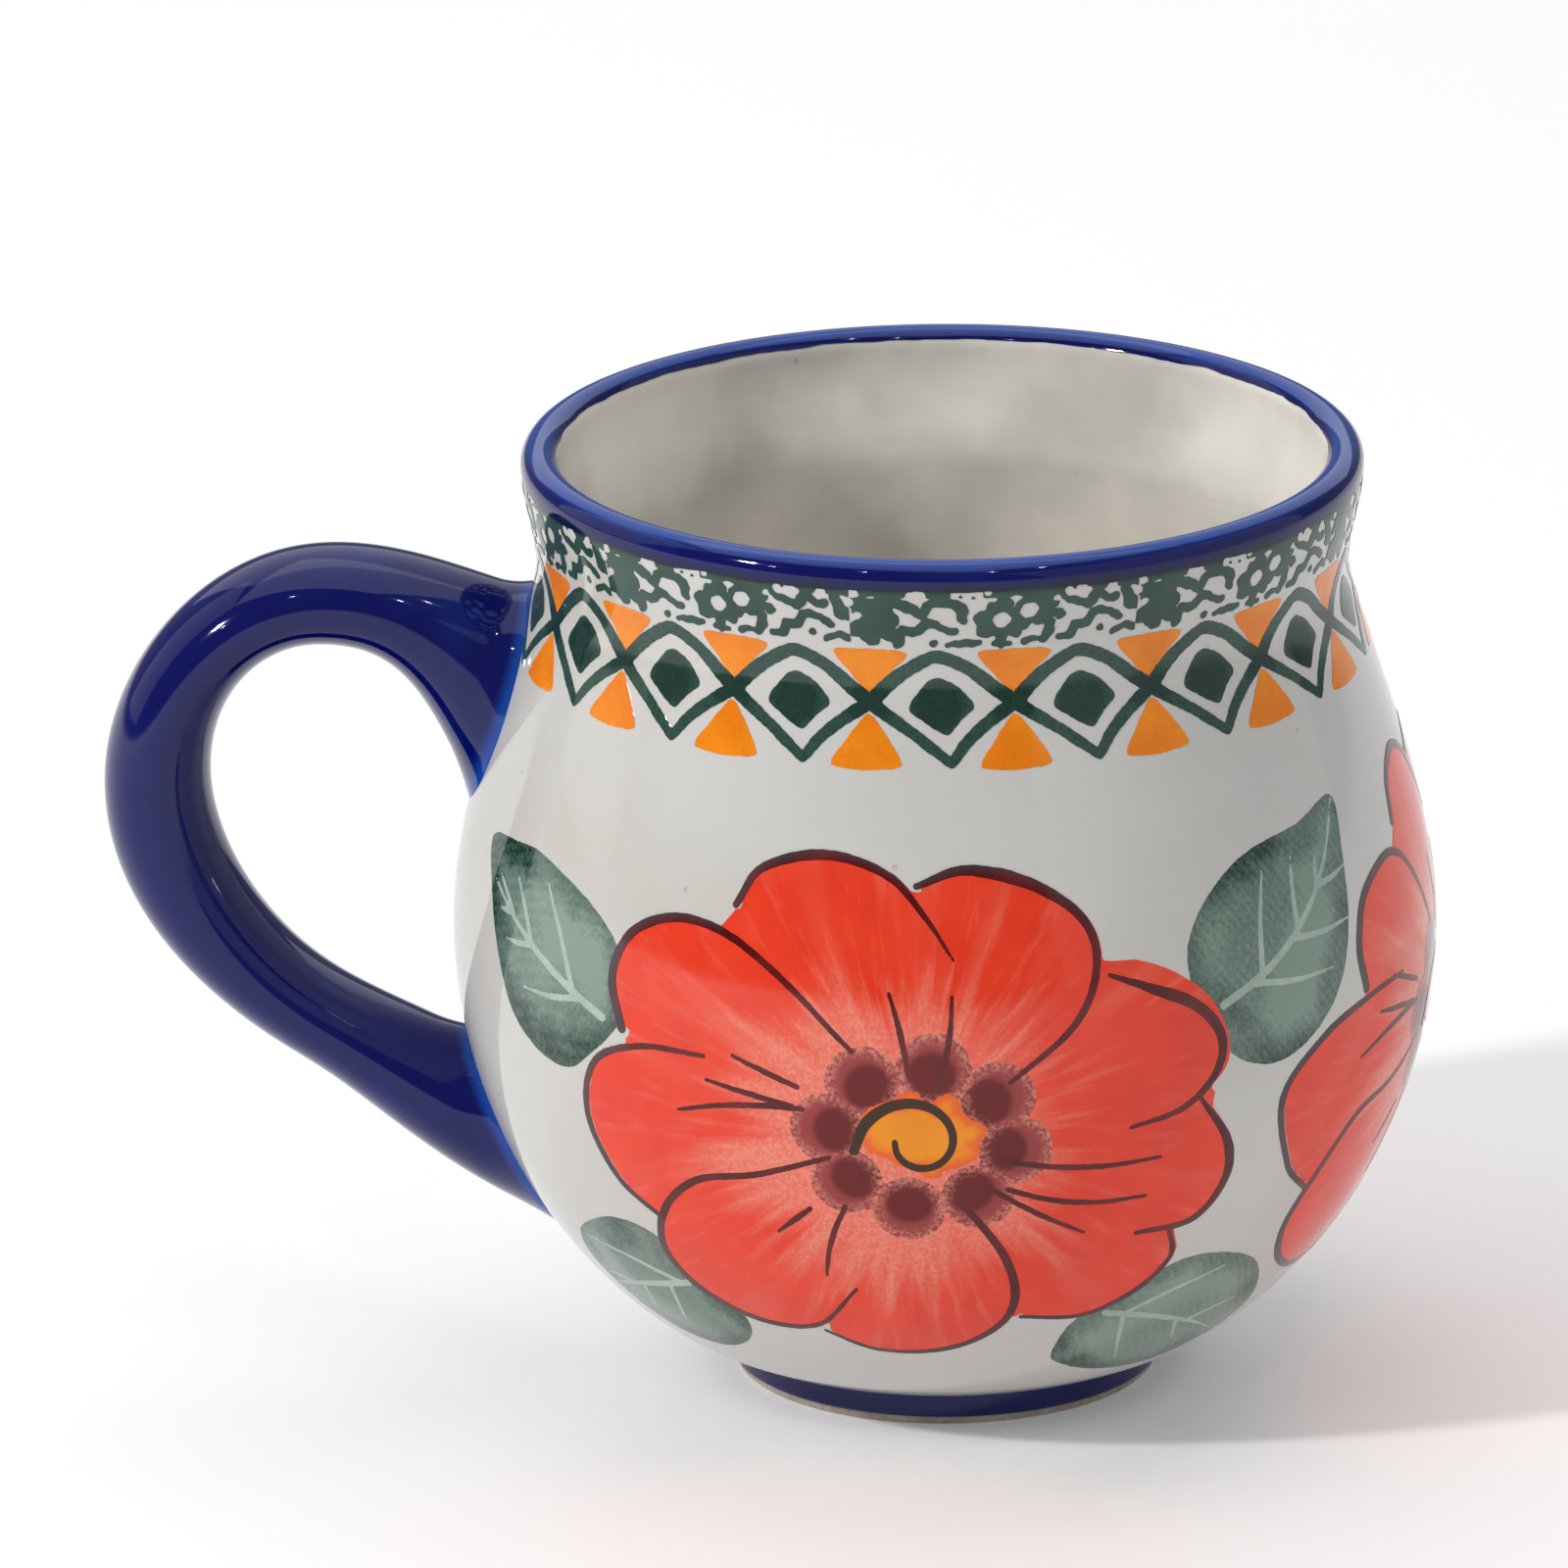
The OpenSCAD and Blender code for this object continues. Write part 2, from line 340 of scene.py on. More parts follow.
def helper(name, vertices, edges=(), faces=()):
    """A mesh object that only feeds a geometry tree, and is removed afterwards."""
    mesh = bpy.data.meshes.new(name)
    mesh.from_pydata([tuple(v) for v in vertices], list(edges), list(faces))
    thing = bpy.data.objects.new(name, mesh)
    bpy.context.collection.objects.link(thing)
    return thing


def discard(*things):
    """Removes helper objects and their meshes."""
    for thing in things:
        mesh = thing.data
        bpy.data.objects.remove(thing)
        bpy.data.meshes.remove(mesh)


def point_values(mesh, name, values):
    """Stores one number or one vector for each vertex."""
    values = np.asarray(values, np.float32)
    kind, key = ("FLOAT", "value") if values.ndim == 1 else ("FLOAT_VECTOR", "vector")
    mesh.attributes.new(name, kind, "POINT").data.foreach_set(key, values.ravel())


def finish_piece(piece, material, slot, *replaced):
    """Gives a piece its material, and hands it to the frame."""
    piece.data.materials.clear()
    piece.data.materials.append(material)
    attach(piece, BODY)
    if replaced:
        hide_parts(*replaced)


# ---------------------------------------------------------------- geometry trees

def turned_coat_tree():
    """Turns a closed loop about the mug's axis. Its wobble makes an edge of the coat uneven."""
    tree, given, out = fresh_tree("turned coat", "GeometryNodeTree", (
        ("Loop", "NodeSocketObject", None), ("Around", "NodeSocketInt", 480),
        ("Wobble", "NodeSocketFloat", 0.0), ("Waves", "NodeSocketFloat", 4.0),
        ("Seed", "NodeSocketInt", 0), ("Material", "NodeSocketMaterial", None),
    ), (("Geometry", "NodeSocketGeometry"),))
    loop = add(tree, "GeometryNodeObjectInfo", Object=given["Loop"]).outputs["Geometry"]
    rows = add(tree, "GeometryNodeAttributeDomainSize", Geometry=loop).outputs["Point Count"]
    around = given["Around"]
    grid = add(tree, "GeometryNodeMeshGrid", Size_X=around, Size_Y=rows,
               Vertices_X=maths(tree, "ADD", around, 1), Vertices_Y=maths(tree, "ADD", rows, 1))
    place = add(tree, "ShaderNodeSeparateXYZ",
                Vector=add(tree, "GeometryNodeInputPosition").outputs[0]).outputs
    turn = maths(tree, "ADD", maths(tree, "DIVIDE", place["X"], around), 0.5)
    row = maths(tree, "ROUND", maths(tree, "ADD", place["Y"], maths(tree, "DIVIDE", rows, 2)))
    index = maths(tree, "MODULO", row, rows)

    def looked_up(kind, value):
        sampler = add(tree, "GeometryNodeSampleIndex", {"data_type": kind, "domain": "POINT"},
                      Geometry=loop, Index=index)
        tree.links.new(value, sampler.inputs["Value"])
        return sampler.outputs["Value"]

    spot = looked_up("FLOAT_VECTOR", add(tree, "GeometryNodeInputPosition").outputs[0])
    sway = looked_up("FLOAT_VECTOR", add(tree, "GeometryNodeInputNamedAttribute",
                                         {"data_type": "FLOAT_VECTOR"}, Name="sway").outputs[0])
    bake_row = looked_up("FLOAT", add(tree, "GeometryNodeInputNamedAttribute",
                                      {"data_type": "FLOAT"}, Name="bake_row").outputs[0])
    angle = maths(tree, "MULTIPLY", turn, 2 * math.pi)
    sine = maths(tree, "SINE", angle)
    cosine = maths(tree, "COSINE", angle)
    ring = add(tree, "ShaderNodeCombineXYZ", X=sine, Y=cosine, Z=given["Seed"]).outputs[0]
    noise = add(tree, "ShaderNodeTexNoise", Vector=ring, Scale=given["Waves"], Detail=3.0)
    push = maths(tree, "MULTIPLY", maths(tree, "SUBTRACT", noise.outputs[0], 0.5), given["Wobble"])
    swung = add(tree, "ShaderNodeVectorMath", {"operation": "MULTIPLY_ADD"}, n0=sway,
                n1=add(tree, "ShaderNodeCombineXYZ", X=push, Y=push, Z=push).outputs[0], n2=spot)
    final = add(tree, "ShaderNodeSeparateXYZ", Vector=swung.outputs[0]).outputs
    quarter_at = add(tree, "GeometryNodeFieldOnDomain", {"data_type": "FLOAT", "domain": "FACE"},
                     Value=maths(tree, "MULTIPLY", turn, 4)).outputs[0]
    quarter = maths(tree, "FLOOR", quarter_at)
    last_row = maths(tree, "GREATER_THAN", row, maths(tree, "SUBTRACT", rows, 0.5))
    bake_up = maths(tree, "MAXIMUM", bake_row, last_row)
    bake_u = maths(tree, "MULTIPLY_ADD", maths(tree, "MODULO", quarter, 2), 0.5,
                   maths(tree, "MULTIPLY_ADD",
                         maths(tree, "SUBTRACT", maths(tree, "MULTIPLY", turn, 4), quarter),
                         0.48, 0.01))
    bake_v = maths(tree, "MULTIPLY_ADD", maths(tree, "FLOOR", maths(tree, "DIVIDE", quarter, 2)),
                   0.5, maths(tree, "MULTIPLY_ADD", bake_up, 0.48, 0.01))
    stored = add(tree, "GeometryNodeStoreNamedAttribute",
                 {"data_type": "FLOAT2", "domain": "CORNER"}, Geometry=grid.outputs[0],
                 Name=BAKE_UV)
    tree.links.new(add(tree, "ShaderNodeCombineXYZ", X=bake_u, Y=bake_v).outputs[0],
                   stored.inputs["Value"])
    turned = add(tree, "GeometryNodeSetPosition", Geometry=stored.outputs[0],
                 Position=add(tree, "ShaderNodeCombineXYZ",
                              X=maths(tree, "MULTIPLY", final["X"], sine),
                              Y=maths(tree, "MULTIPLY", final["X"],
                                      maths(tree, "MULTIPLY", cosine, -1)),
                              Z=final["Z"]).outputs[0])
    merged = add(tree, "GeometryNodeMergeByDistance", Geometry=turned.outputs[0], Distance=2e-6)
    close_tree(tree, merged.outputs[0], given["Material"], out)
    return tree


def wrapped_paint_tree():
    """Sets flat motifs side by side round the mug, and wraps them onto its outline."""
    tree, given, out = fresh_tree("paint wrapped round the wall", "GeometryNodeTree", (
        ("Motif", "NodeSocketObject", None), ("Outline", "NodeSocketObject", None),
        ("Count", "NodeSocketInt", 1), ("Pitch", "NodeSocketFloat", 0.0),
        ("First Angle", "NodeSocketFloat", 0.0), ("Drawn Radius", "NodeSocketFloat", 0.04),
        ("Lift", "NodeSocketFloat", 0.0), ("Depth", "NodeSocketFloat", 0.0001),
        ("Material", "NodeSocketMaterial", None),
    ), (("Geometry", "NodeSocketGeometry"),))
    motif = add(tree, "GeometryNodeObjectInfo", Object=given["Motif"]).outputs["Geometry"]
    line = add(tree, "GeometryNodeObjectInfo", Object=given["Outline"]).outputs["Geometry"]
    line = add(tree, "GeometryNodeMeshToCurve", Mesh=line).outputs[0]
    radius = given["Drawn Radius"]
    start = add(tree, "ShaderNodeCombineXYZ",
                X=maths(tree, "MULTIPLY", given["First Angle"], radius)).outputs[0]
    step = add(tree, "ShaderNodeCombineXYZ",
               X=maths(tree, "MULTIPLY", given["Pitch"], radius)).outputs[0]
    places = add(tree, "GeometryNodeMeshLine", Count=given["Count"], Start_Location=start,
                 Offset=step)
    row = add(tree, "GeometryNodeInstanceOnPoints", Points=places.outputs[0], Instance=motif)
    flat = add(tree, "GeometryNodeRealizeInstances", Geometry=row.outputs[0])
    place = add(tree, "ShaderNodeSeparateXYZ",
                Vector=add(tree, "GeometryNodeInputPosition").outputs[0]).outputs
    sampled = add(tree, "GeometryNodeSampleCurve", {"mode": "LENGTH", "data_type": "FLOAT"},
                  Curves=line)
    tree.links.new(place["Y"], sampled.inputs["Length"])
    spot = add(tree, "ShaderNodeSeparateXYZ", Vector=sampled.outputs["Position"]).outputs
    way = add(tree, "ShaderNodeSeparateXYZ", Vector=sampled.outputs["Tangent"]).outputs
    depth = maths(tree, "MULTIPLY", given["Depth"], -1)
    rise = maths(tree, "MULTIPLY_ADD", place["Z"],
                 maths(tree, "SUBTRACT", given["Lift"], depth), depth)
    out_to = maths(tree, "MULTIPLY_ADD", way["Z"], rise, spot["X"])
    up_to = maths(tree, "MULTIPLY_ADD", maths(tree, "MULTIPLY", way["X"], -1), rise, spot["Z"])
    angle = maths(tree, "DIVIDE", place["X"], radius)
    wrapped = add(tree, "GeometryNodeSetPosition", Geometry=flat.outputs[0],
                  Position=add(tree, "ShaderNodeCombineXYZ",
                               X=maths(tree, "MULTIPLY", out_to, maths(tree, "SINE", angle)),
                               Y=maths(tree, "MULTIPLY", maths(tree, "MULTIPLY", out_to, -1),
                                       maths(tree, "COSINE", angle)),
                               Z=up_to).outputs[0])
    close_tree(tree, wrapped.outputs[0], given["Material"], out)
    return tree


def close_tree(tree, geometry, material, out):
    """The end that both trees share."""
    smooth = add(tree, "GeometryNodeSetShadeSmooth", Geometry=geometry)
    whole = add(tree, "GeometryNodeRealizeInstances", Geometry=smooth.outputs[0])
    dressed = add(tree, "GeometryNodeSetMaterial", Geometry=whole.outputs[0], Material=material)
    tree.links.new(dressed.outputs[0], out["Geometry"])


def turned_piece(name, loop, bake_rows, sway, material, wobble=0.0, waves=4.0, seed=0):
    """A closed ring of glaze or clay, turned from a loop of (radius, height) points."""
    shape = bpy.context.scene.mug_shape
    count = len(loop)
    drawn = helper(name + "_loop", [(r, 0, z) for r, z in loop],
                   [(i, (i + 1) % count) for i in range(count)])
    point_values(drawn.data, "sway", [(r, 0, z) for r, z in sway])
    point_values(drawn.data, "bake_row", bake_rows)
    tree = bpy.data.node_groups.get("turned coat") or turned_coat_tree()
    piece = grown(name, tree, {
        "Loop": drawn, "Around": shape.around, "Wobble": wobble, "Waves": waves, "Seed": seed,
        "Material": material})
    discard(drawn)
    edit = bmesh.new()
    edit.from_mesh(piece.data)
    bmesh.ops.delete(edit, geom=[e for e in edit.edges if not e.link_faces], context="EDGES")
    edit.to_mesh(piece.data)
    edit.free()
    piece.data.set_sharp_from_angle(angle=math.radians(42))
    return piece


def coat_piece(name, outline, start, end, material, lift=0.0, wobble=0.0, waves=4.0, seed=0,
               uneven=()):
    """A coat of glaze on a stretch of the outline. Uneven ends are named "start" and "end"."""
    shape = bpy.context.scene.mug_shape
    loop, face_count, lengths = outline.coat(start, end, lift, shape.glaze)
    reach = 2.5 * MM
    share = np.zeros(len(lengths))
    if "start" in uneven:
        share = np.maximum(share, 1 - (lengths - start) / reach)
    if "end" in uneven:
        share = np.maximum(share, 1 - (end - lengths) / reach)
    way = outline.facing(lengths)
    sway = np.column_stack((-way[:, 1], way[:, 0])) * np.clip(share, 0, 1)[:, None]
    bake_rows = np.concatenate((np.linspace(0, 0.94, face_count),
                                np.linspace(0.95, 0.99, len(loop) - face_count)))
    return turned_piece(name, loop, bake_rows, sway, material, wobble, waves, seed)


# ---------------------------------------------------------------- flat drawing, in millimetres

class Sheet:
    """A flat sheet with a paint depth at each grid point: positive where there is paint."""

    def __init__(self, left, right, low, high, step):
        self.xs = np.arange(left - 2 * step, right + 2 * step, step)
        self.ys = np.arange(low - 2 * step, high + 2 * step, step)
        self.x, self.y = np.meshgrid(self.xs, self.ys)
        self.paint = np.full(self.x.shape, -4.0)

    def near(self, px, py, reach):
        """The part of the sheet within reach of a point."""
        columns = slice(*np.searchsorted(self.xs, (px - reach, px + reach)))
        rows = slice(*np.searchsorted(self.ys, (py - reach, py + reach)))
        return rows, columns

    def dab(self, px, py, radius):
        """A round dab of paint."""
        part = self.near(px, py, radius + 1)
        depth = radius - np.hypot(self.x[part] - px, self.y[part] - py)
        self.paint[part] = np.maximum(self.paint[part], depth)

    def stroke(self, path, *widths):
        """A brush stroke along a smooth path. Its widths are spread evenly along it."""
        line = smooth_path(path)
        halves = np.interp(np.linspace(0, 1, len(line)), np.linspace(0, 1, len(widths)), widths) / 2
        for (px, py), half in zip(line, halves):
            self.dab(px, py, half)

    def fill(self, corners, rounding=0.0):
        """A filled shape."""
        self.paint = np.maximum(self.paint, self.depth_in(corners) + rounding)

    def depth_in(self, corners):
        """How far each grid point lies inside a closed shape, in millimetres."""
        corners = np.asarray(corners, float)
        nearest = np.full(self.x.shape, 1e9)
        inside = np.zeros(self.x.shape, bool)
        for (ax, ay), (bx, by) in zip(corners, np.roll(corners, -1, axis=0)):
            ex, ey = bx - ax, by - ay
            span = max(ex * ex + ey * ey, 1e-12)
            t = np.clip(((self.x - ax) * ex + (self.y - ay) * ey) / span, 0, 1)
            away = (self.x - ax - t * ex) ** 2 + (self.y - ay - t * ey) ** 2
            nearest = np.minimum(nearest, away)
            if ay != by:
                crosses = (ay > self.y) != (by > self.y)
                inside ^= crosses & (self.x < ax + (self.y - ay) * ex / ey)
        return np.where(inside, 1, -1) * np.sqrt(nearest)

    def roughen(self, amount):
        """Makes the edges of the paint a little uneven."""
        x, y = self.x, self.y
        uneven = np.sin(2.3 * x + 1.1 * y) + np.sin(1.3 * x - 2.9 * y + 1.0)
        uneven = uneven + np.sin(5.1 * x + 3.7 * y + 2.0) + np.sin(4.3 * x - 6.1 * y)
        self.paint = self.paint + amount * uneven / 4

    def crop(self, left, right):
        """Cuts the paint off at both sides, so that it meets its neighbours."""
        self.paint = np.minimum(self.paint, np.minimum(self.x - left, right - self.x))


def smooth_path(points, closed=False, spacing=0.12):
    """A smooth curve through the points, with about one point each spacing."""
    points = np.array(points, float)
    if len(points) < 3 and not closed:
        count = 2 + int(np.hypot(*(points[-1] - points[0])) / spacing)
        return points[0] + np.linspace(0, 1, count)[:, None] * (points[-1] - points[0])
    if closed:
        points = np.vstack((points[-1], points, points[:2]))
    else:
        points = np.vstack((2 * points[0] - points[1], points, 2 * points[-1] - points[-2]))
    line = []
    for a, b, c, d in zip(points, points[1:], points[2:], points[3:]):
        count = 1 + int(np.hypot(*(c - b)) / spacing)
        t = np.arange(count)[:, None] / count
        line.append(0.5 * (2 * b + (c - a) * t + (2 * a - 5 * b + 4 * c - d) * t ** 2
                           + (3 * b - a - 3 * c + d) * t ** 3))
    return np.vstack(line + ([] if closed else [points[-2:-1]]))


# Faces of a grid square by which of its corners (0 to 3) have paint. Points 4 to 7 lie on its sides.
SQUARE_FACES = {
    1: ((0, 4, 7),), 2: ((1, 5, 4),), 3: ((0, 1, 5, 7),), 4: ((2, 6, 5),),
    5: ((0, 4, 7), (2, 6, 5)), 6: ((1, 2, 6, 4),), 7: ((0, 1, 2, 6, 7),), 8: ((3, 7, 6),),
    9: ((0, 4, 6, 3),), 10: ((1, 5, 4), (3, 7, 6)), 11: ((0, 1, 5, 6, 3),), 12: ((2, 3, 7, 5),),
    13: ((0, 4, 5, 2, 3),), 14: ((1, 2, 3, 7, 4),), 15: ((0, 1, 2, 3),),
}


def cut_out(name, sheet, marks=None):
    """The painted part of a sheet as a thin closed mesh: its face at z = 1, its back at z = 0."""
    paint = sheet.paint.copy()
    paint[[0, -1], :] = -1
    paint[:, [0, -1]] = -1
    inside = paint > 0
    layers = np.dstack([sheet.x, sheet.y] + list((marks or {}).values()))
    values = [layers[inside]]
    corner = np.full(inside.shape, -1)
    corner[inside] = np.arange(inside.sum())
    total = inside.sum()
    crossings = []
    for lower, upper in ((np.s_[:, :-1], np.s_[:, 1:]), (np.s_[:-1, :], np.s_[1:, :])):
        cut = inside[lower] != inside[upper]
        first, second = paint[lower][cut], paint[upper][cut]
        t = np.clip(first / (first - second), 0.06, 0.94)[:, None]
        values.append(layers[lower][cut] * (1 - t) + layers[upper][cut] * t)
        numbers = np.full(cut.shape, -1)
        numbers[cut] = total + np.arange(cut.sum())
        total += cut.sum()
        crossings.append(numbers)
    flat_way, up_way = crossings
    points = (corner[:-1, :-1], corner[:-1, 1:], corner[1:, 1:], corner[1:, :-1],
              flat_way[:-1, :], up_way[:, 1:], flat_way[1:, :], up_way[:, :-1])
    state = sum((corner_of >= 0) * bit for corner_of, bit in zip(points[:4], (1, 2, 4, 8)))
    faces = []
    for number, shapes in SQUARE_FACES.items():
        here = state == number
        for labels in shapes:
            top = np.column_stack([points[label][here] for label in labels])
            faces += top.tolist()
            faces += (top[:, ::-1] + total).tolist()
            for a, b in zip(range(len(labels)), np.roll(range(len(labels)), -1)):
                if labels[a] > 3 and labels[b] > 3:
                    side = (top[:, b], top[:, a], top[:, a] + total, top[:, b] + total)
                    faces += np.column_stack(side).tolist()
    values = np.vstack(values)
    twice = np.vstack((values, values))
    layer = np.repeat((1.0, 0.0), total)
    thing = helper(name, np.column_stack((twice[:, :2] * MM, layer)), faces=faces)
    point_values(thing.data, "along", twice[:, 1] * MM)
    point_values(thing.data, "layer", layer)
    for column, key in enumerate(marks or {}, start=2):
        point_values(thing.data, key, twice[:, column])
    return thing


def painted_piece(name, outline, sheet, material, layer, count=1, pitch=0.0, first=0.0,
                  radius=0.0, marks=None):
    """A layer of paint that is drawn on a sheet and wrapped round the mug."""
    sizes = bpy.context.scene.mug_paint
    motif = cut_out(name + "_flat", sheet, marks)
    wall = outline.points[outline.length <= outline.at["lip_inside"]]
    line = helper(name + "_line", [(r, 0, z) for r, z in wall],
                  [(i, i + 1) for i in range(len(wall) - 1)])
    tree = (bpy.data.node_groups.get("paint wrapped round the wall") or wrapped_paint_tree())
    piece = grown(name, tree, {
        "Motif": motif, "Outline": line, "Count": count, "Pitch": pitch, "First Angle": first,
        "Drawn Radius": radius, "Lift": sizes.lift * layer, "Depth": sizes.depth,
        "Material": material})
    discard(motif, line)
    mesh = piece.data
    along = read_values(mesh, "along")
    up = read_values(mesh, "layer")
    place = np.zeros(len(mesh.vertices) * 3)
    mesh.vertices.foreach_get("co", place)
    place = place.reshape(-1, 3)
    angle = np.arctan2(place[:, 0], -place[:, 1])
    facing = outline.facing(along) * np.where(up > 0.5, 1, -1)[:, None]
    normals = np.column_stack((facing[:, 0] * np.sin(angle), -facing[:, 0] * np.cos(angle),
                               facing[:, 1]))
    mesh.normals_split_custom_set_from_vertices(normals.tolist())
    pack_quarters(mesh, angle, along / outline.at["lip_inside"], up)
    return piece


def read_values(mesh, name):
    """Reads a number for each vertex."""
    values = np.zeros(len(mesh.vertices))
    mesh.attributes[name].data.foreach_get("value", values)
    return values


def pack_quarters(mesh, angle, height, up):
    """Lays out a piece for baking: the four quarters of its face side by side, its back small."""
    corner_vertex = np.zeros(len(mesh.loops), int)
    mesh.loops.foreach_get("vertex_index", corner_vertex)
    starts = np.zeros(len(mesh.polygons), int)
    mesh.polygons.foreach_get("loop_start", starts)
    counts = np.zeros(len(mesh.polygons), int)
    mesh.polygons.foreach_get("loop_total", counts)
    turn = (angle[corner_vertex] / (2 * math.pi)) % 1
    first_turn = np.repeat(turn[starts], counts)
    turn = turn + (first_turn - turn > 0.5) - (turn - first_turn > 0.5)
    quarter = np.floor(first_turn * 4) % 4
    across = np.clip(turn * 4 - np.floor(first_turn * 4), -0.02, 1.02)
    u = 0.5 * (quarter % 2) + 0.02 + 0.46 * across
    v = 0.5 * (quarter // 2) + 0.02 + 0.46 * height[corner_vertex]
    back = np.repeat(np.minimum.reduceat(up[corner_vertex], starts) < 0.5, counts)
    u = np.where(back, 0.002 + 0.01 * u, u)
    v = np.where(back, 0.002 + 0.01 * v, v)
    layer = mesh.uv_layers.new(name=BAKE_UV)
    layer.data.foreach_set("uv", np.column_stack((u, v)).astype(np.float32).ravel())


# ---------------------------------------------------------------- the motifs, in millimetres

FLOWER_HEART = (-2.1, -6.0)
PETALS = {
    "left": (((-32.5, 1), (-34, 6), (-32, 10.5), (-27, 12.8), (-21, 12), (-14.5, 8), (-8, 2)),
             (1.3, 1.2, 0.9, 0.6)),
    "upper_left": (((-20.5, 15), (-18, 18.8), (-11.5, 20.6), (-5, 19), (-1, 15), (1.7, 11)),
                   (0.9, 1.3, 1.0, 0.35)),
    "upper_right": (((-2, 18), (3, 19.5), (9.5, 18), (14.5, 14.5), (15.8, 10), (13.5, 4.5),
                     (7, -1)), (0.8, 1.6, 1.1, 0.9, 0.6)),
    "right_top": (((17, 8.7), (21, 7), (26, 4.5), (28.6, 1), (28, -2.5), (24.5, -5.5),
                   (19, -6.7)), (0.5, 1.5, 1.3, 0.9, 0.5)),
    "right": (((26.5, -5), (30, -10), (30.5, -14.5), (27.5, -18.5), (21, -19)),
              (0.6, 1.4, 1.1, 0.7)),
    "lower_right": (((25, -19.5), (26, -23), (23, -27), (17, -29.8), (9.5, -29.2)),
                    (0.7, 1.0, 0.8, 0.6)),
    "bottom": (((-14, -32), (-8, -34.7), (0, -34.5), (6, -31.5), (8.5, -27), (7, -20.5), (2, -13)),
               (0.5, 0.9, 1.3, 0.9)),
    "lower_left": (((-10.5, -9), (-18, -11.7), (-25, -13.5), (-30, -18), (-32, -23.5),
                    (-29, -28.5), (-22, -31.7), (-14.5, -31), (-9, -25)),
                   (0.7, 0.9, 1.1, 1.2, 0.9, 0.5)),
    "low_left": (((-23, 0), (-30, -0.3), (-36, -3), (-38, -9), (-35.5, -15.5), (-31, -19)),
                 (0.6, 0.9, 1.0, 0.8)),
}
# The red of this petal spreads past its line.
SPREAD_TOP = ((16, 10), (21, 9.2), (27, 5), (29, -1.5), (24.5, -5.5))
NOTCHES = ((-32, 0), (-20.5, 14.5), (-1.5, 17.5), (16, 9.5), (28, -4.5), (25.5, -19.5),
           (9, -29), (-12, -31.5), (-31, -19.5), (-31.5, -4))
# Creases point at the heart: direction in degrees, far end, near end, and bend in degrees.
PETAL_CREASES = (
    (100, 14, 6, -5), (75, 14, 5, -10), (160, 19, 12, 0), (170, 21, 12, 0), (180, 24, 11, -10),
    (220, 19, 14, 0), (240, 20, 11, -10), (-10, 25, 9, -10), (-20, 25, 11, -15), (-35, 21, 9, -5),
)
# The dark beads stand evenly on an oval ring.
BEAD_COUNT = 8
BEAD_RING = (-1.5, -7, 9.2, 7.5)
BEAD_TURN = -8
HEART_DABS = ((-2.1, -6.2, 3.6), (-4.4, -5.8, 3.0), (0.4, -6.6, 3.4), (-2.6, -3.2, 1.5),
              (2.4, -8, 1.6), (0.9, -3.4, 1.4), (-0.5, -9.5, 1.4), (3.2, -6, 1.5))
# The spiral starts slowly and swings out at its end.
SPIRAL_CENTRE = (-1.6, -7)
SPIRAL_START = 180
SPIRAL_SWEEP = 370
SPIRAL_RADIUS = 2.4
SPIRAL_GROWTH = 1.4
SPIRAL_SWING = 2.7

RIGHT_LEAVES = (
    ((48.2, 20.3), (41.5, 19), (34.5, 18), (29.5, 15.5), (26, 11.5), (25.4, 7.5), (27, 2.5),
     (31, -1.8), (36, -3), (41, -1), (44.8, 3), (46.8, 8), (47.8, 14)),
    ((14.8, -36.5), (16, -31), (20, -28.5), (25, -25), (29, -23.7), (34.5, -24.5), (40, -27),
     (44.5, -31.5), (47, -36), (45, -40), (39, -43), (31, -43.3), (23, -41.7), (17, -39)),
)
# A leaf's veins: base and tip of its midrib, how far the midrib bows, and its side veins.
# A side vein has its place along the midrib, its turn from it in degrees, and its length.
RIGHT_VEINS = (
    ((29, 4), (48, 20), -2.5,
     ((0.2, 40, 10), (0.45, 45, 7), (0.65, 40, 3), (0.15, -45, 11), (0.4, -40, 9), (0.65, -30, 5))),
    ((20, -30), (41, -38), 0.7, ((0.12, 40, 13), (0.12, -50, 10), (0.55, -40, 5), (0.65, 32, 8))),
)
LEFT_LEAVES = (
    ((-58, 13.5), (-51.7, 14.6), (-46.8, 14.7), (-39, 12.4), (-34, 9), (-32, 4), (-33.5, 0.5),
     (-36.8, -2.6), (-40, -4.8), (-44.5, -4.4), (-49, -1.8), (-52, 2.5), (-55.5, 8.5)),
    ((-49, -26.5), (-44.5, -23.5), (-38.5, -21.2), (-33, -21.8), (-28.5, -26), (-25, -30.5),
     (-24.8, -34), (-27.5, -37), (-33, -39.2), (-40, -39.2), (-45.5, -37), (-50.3, -31)),
)
LEFT_VEINS = (
    ((-35, 1.5), (-55, 10), 0.3,
     ((0.2, -35, 11), (0.55, -30, 7), (0.75, -15, 5), (0.15, 30, 9), (0.55, 30, 5), (0.78, 27, 2))),
    ((-31, -28), (-48, -33), 0, ((0.05, -25, 15), (0.2, 55, 7), (0.55, 55, 5), (0.65, -15, 6))),
)

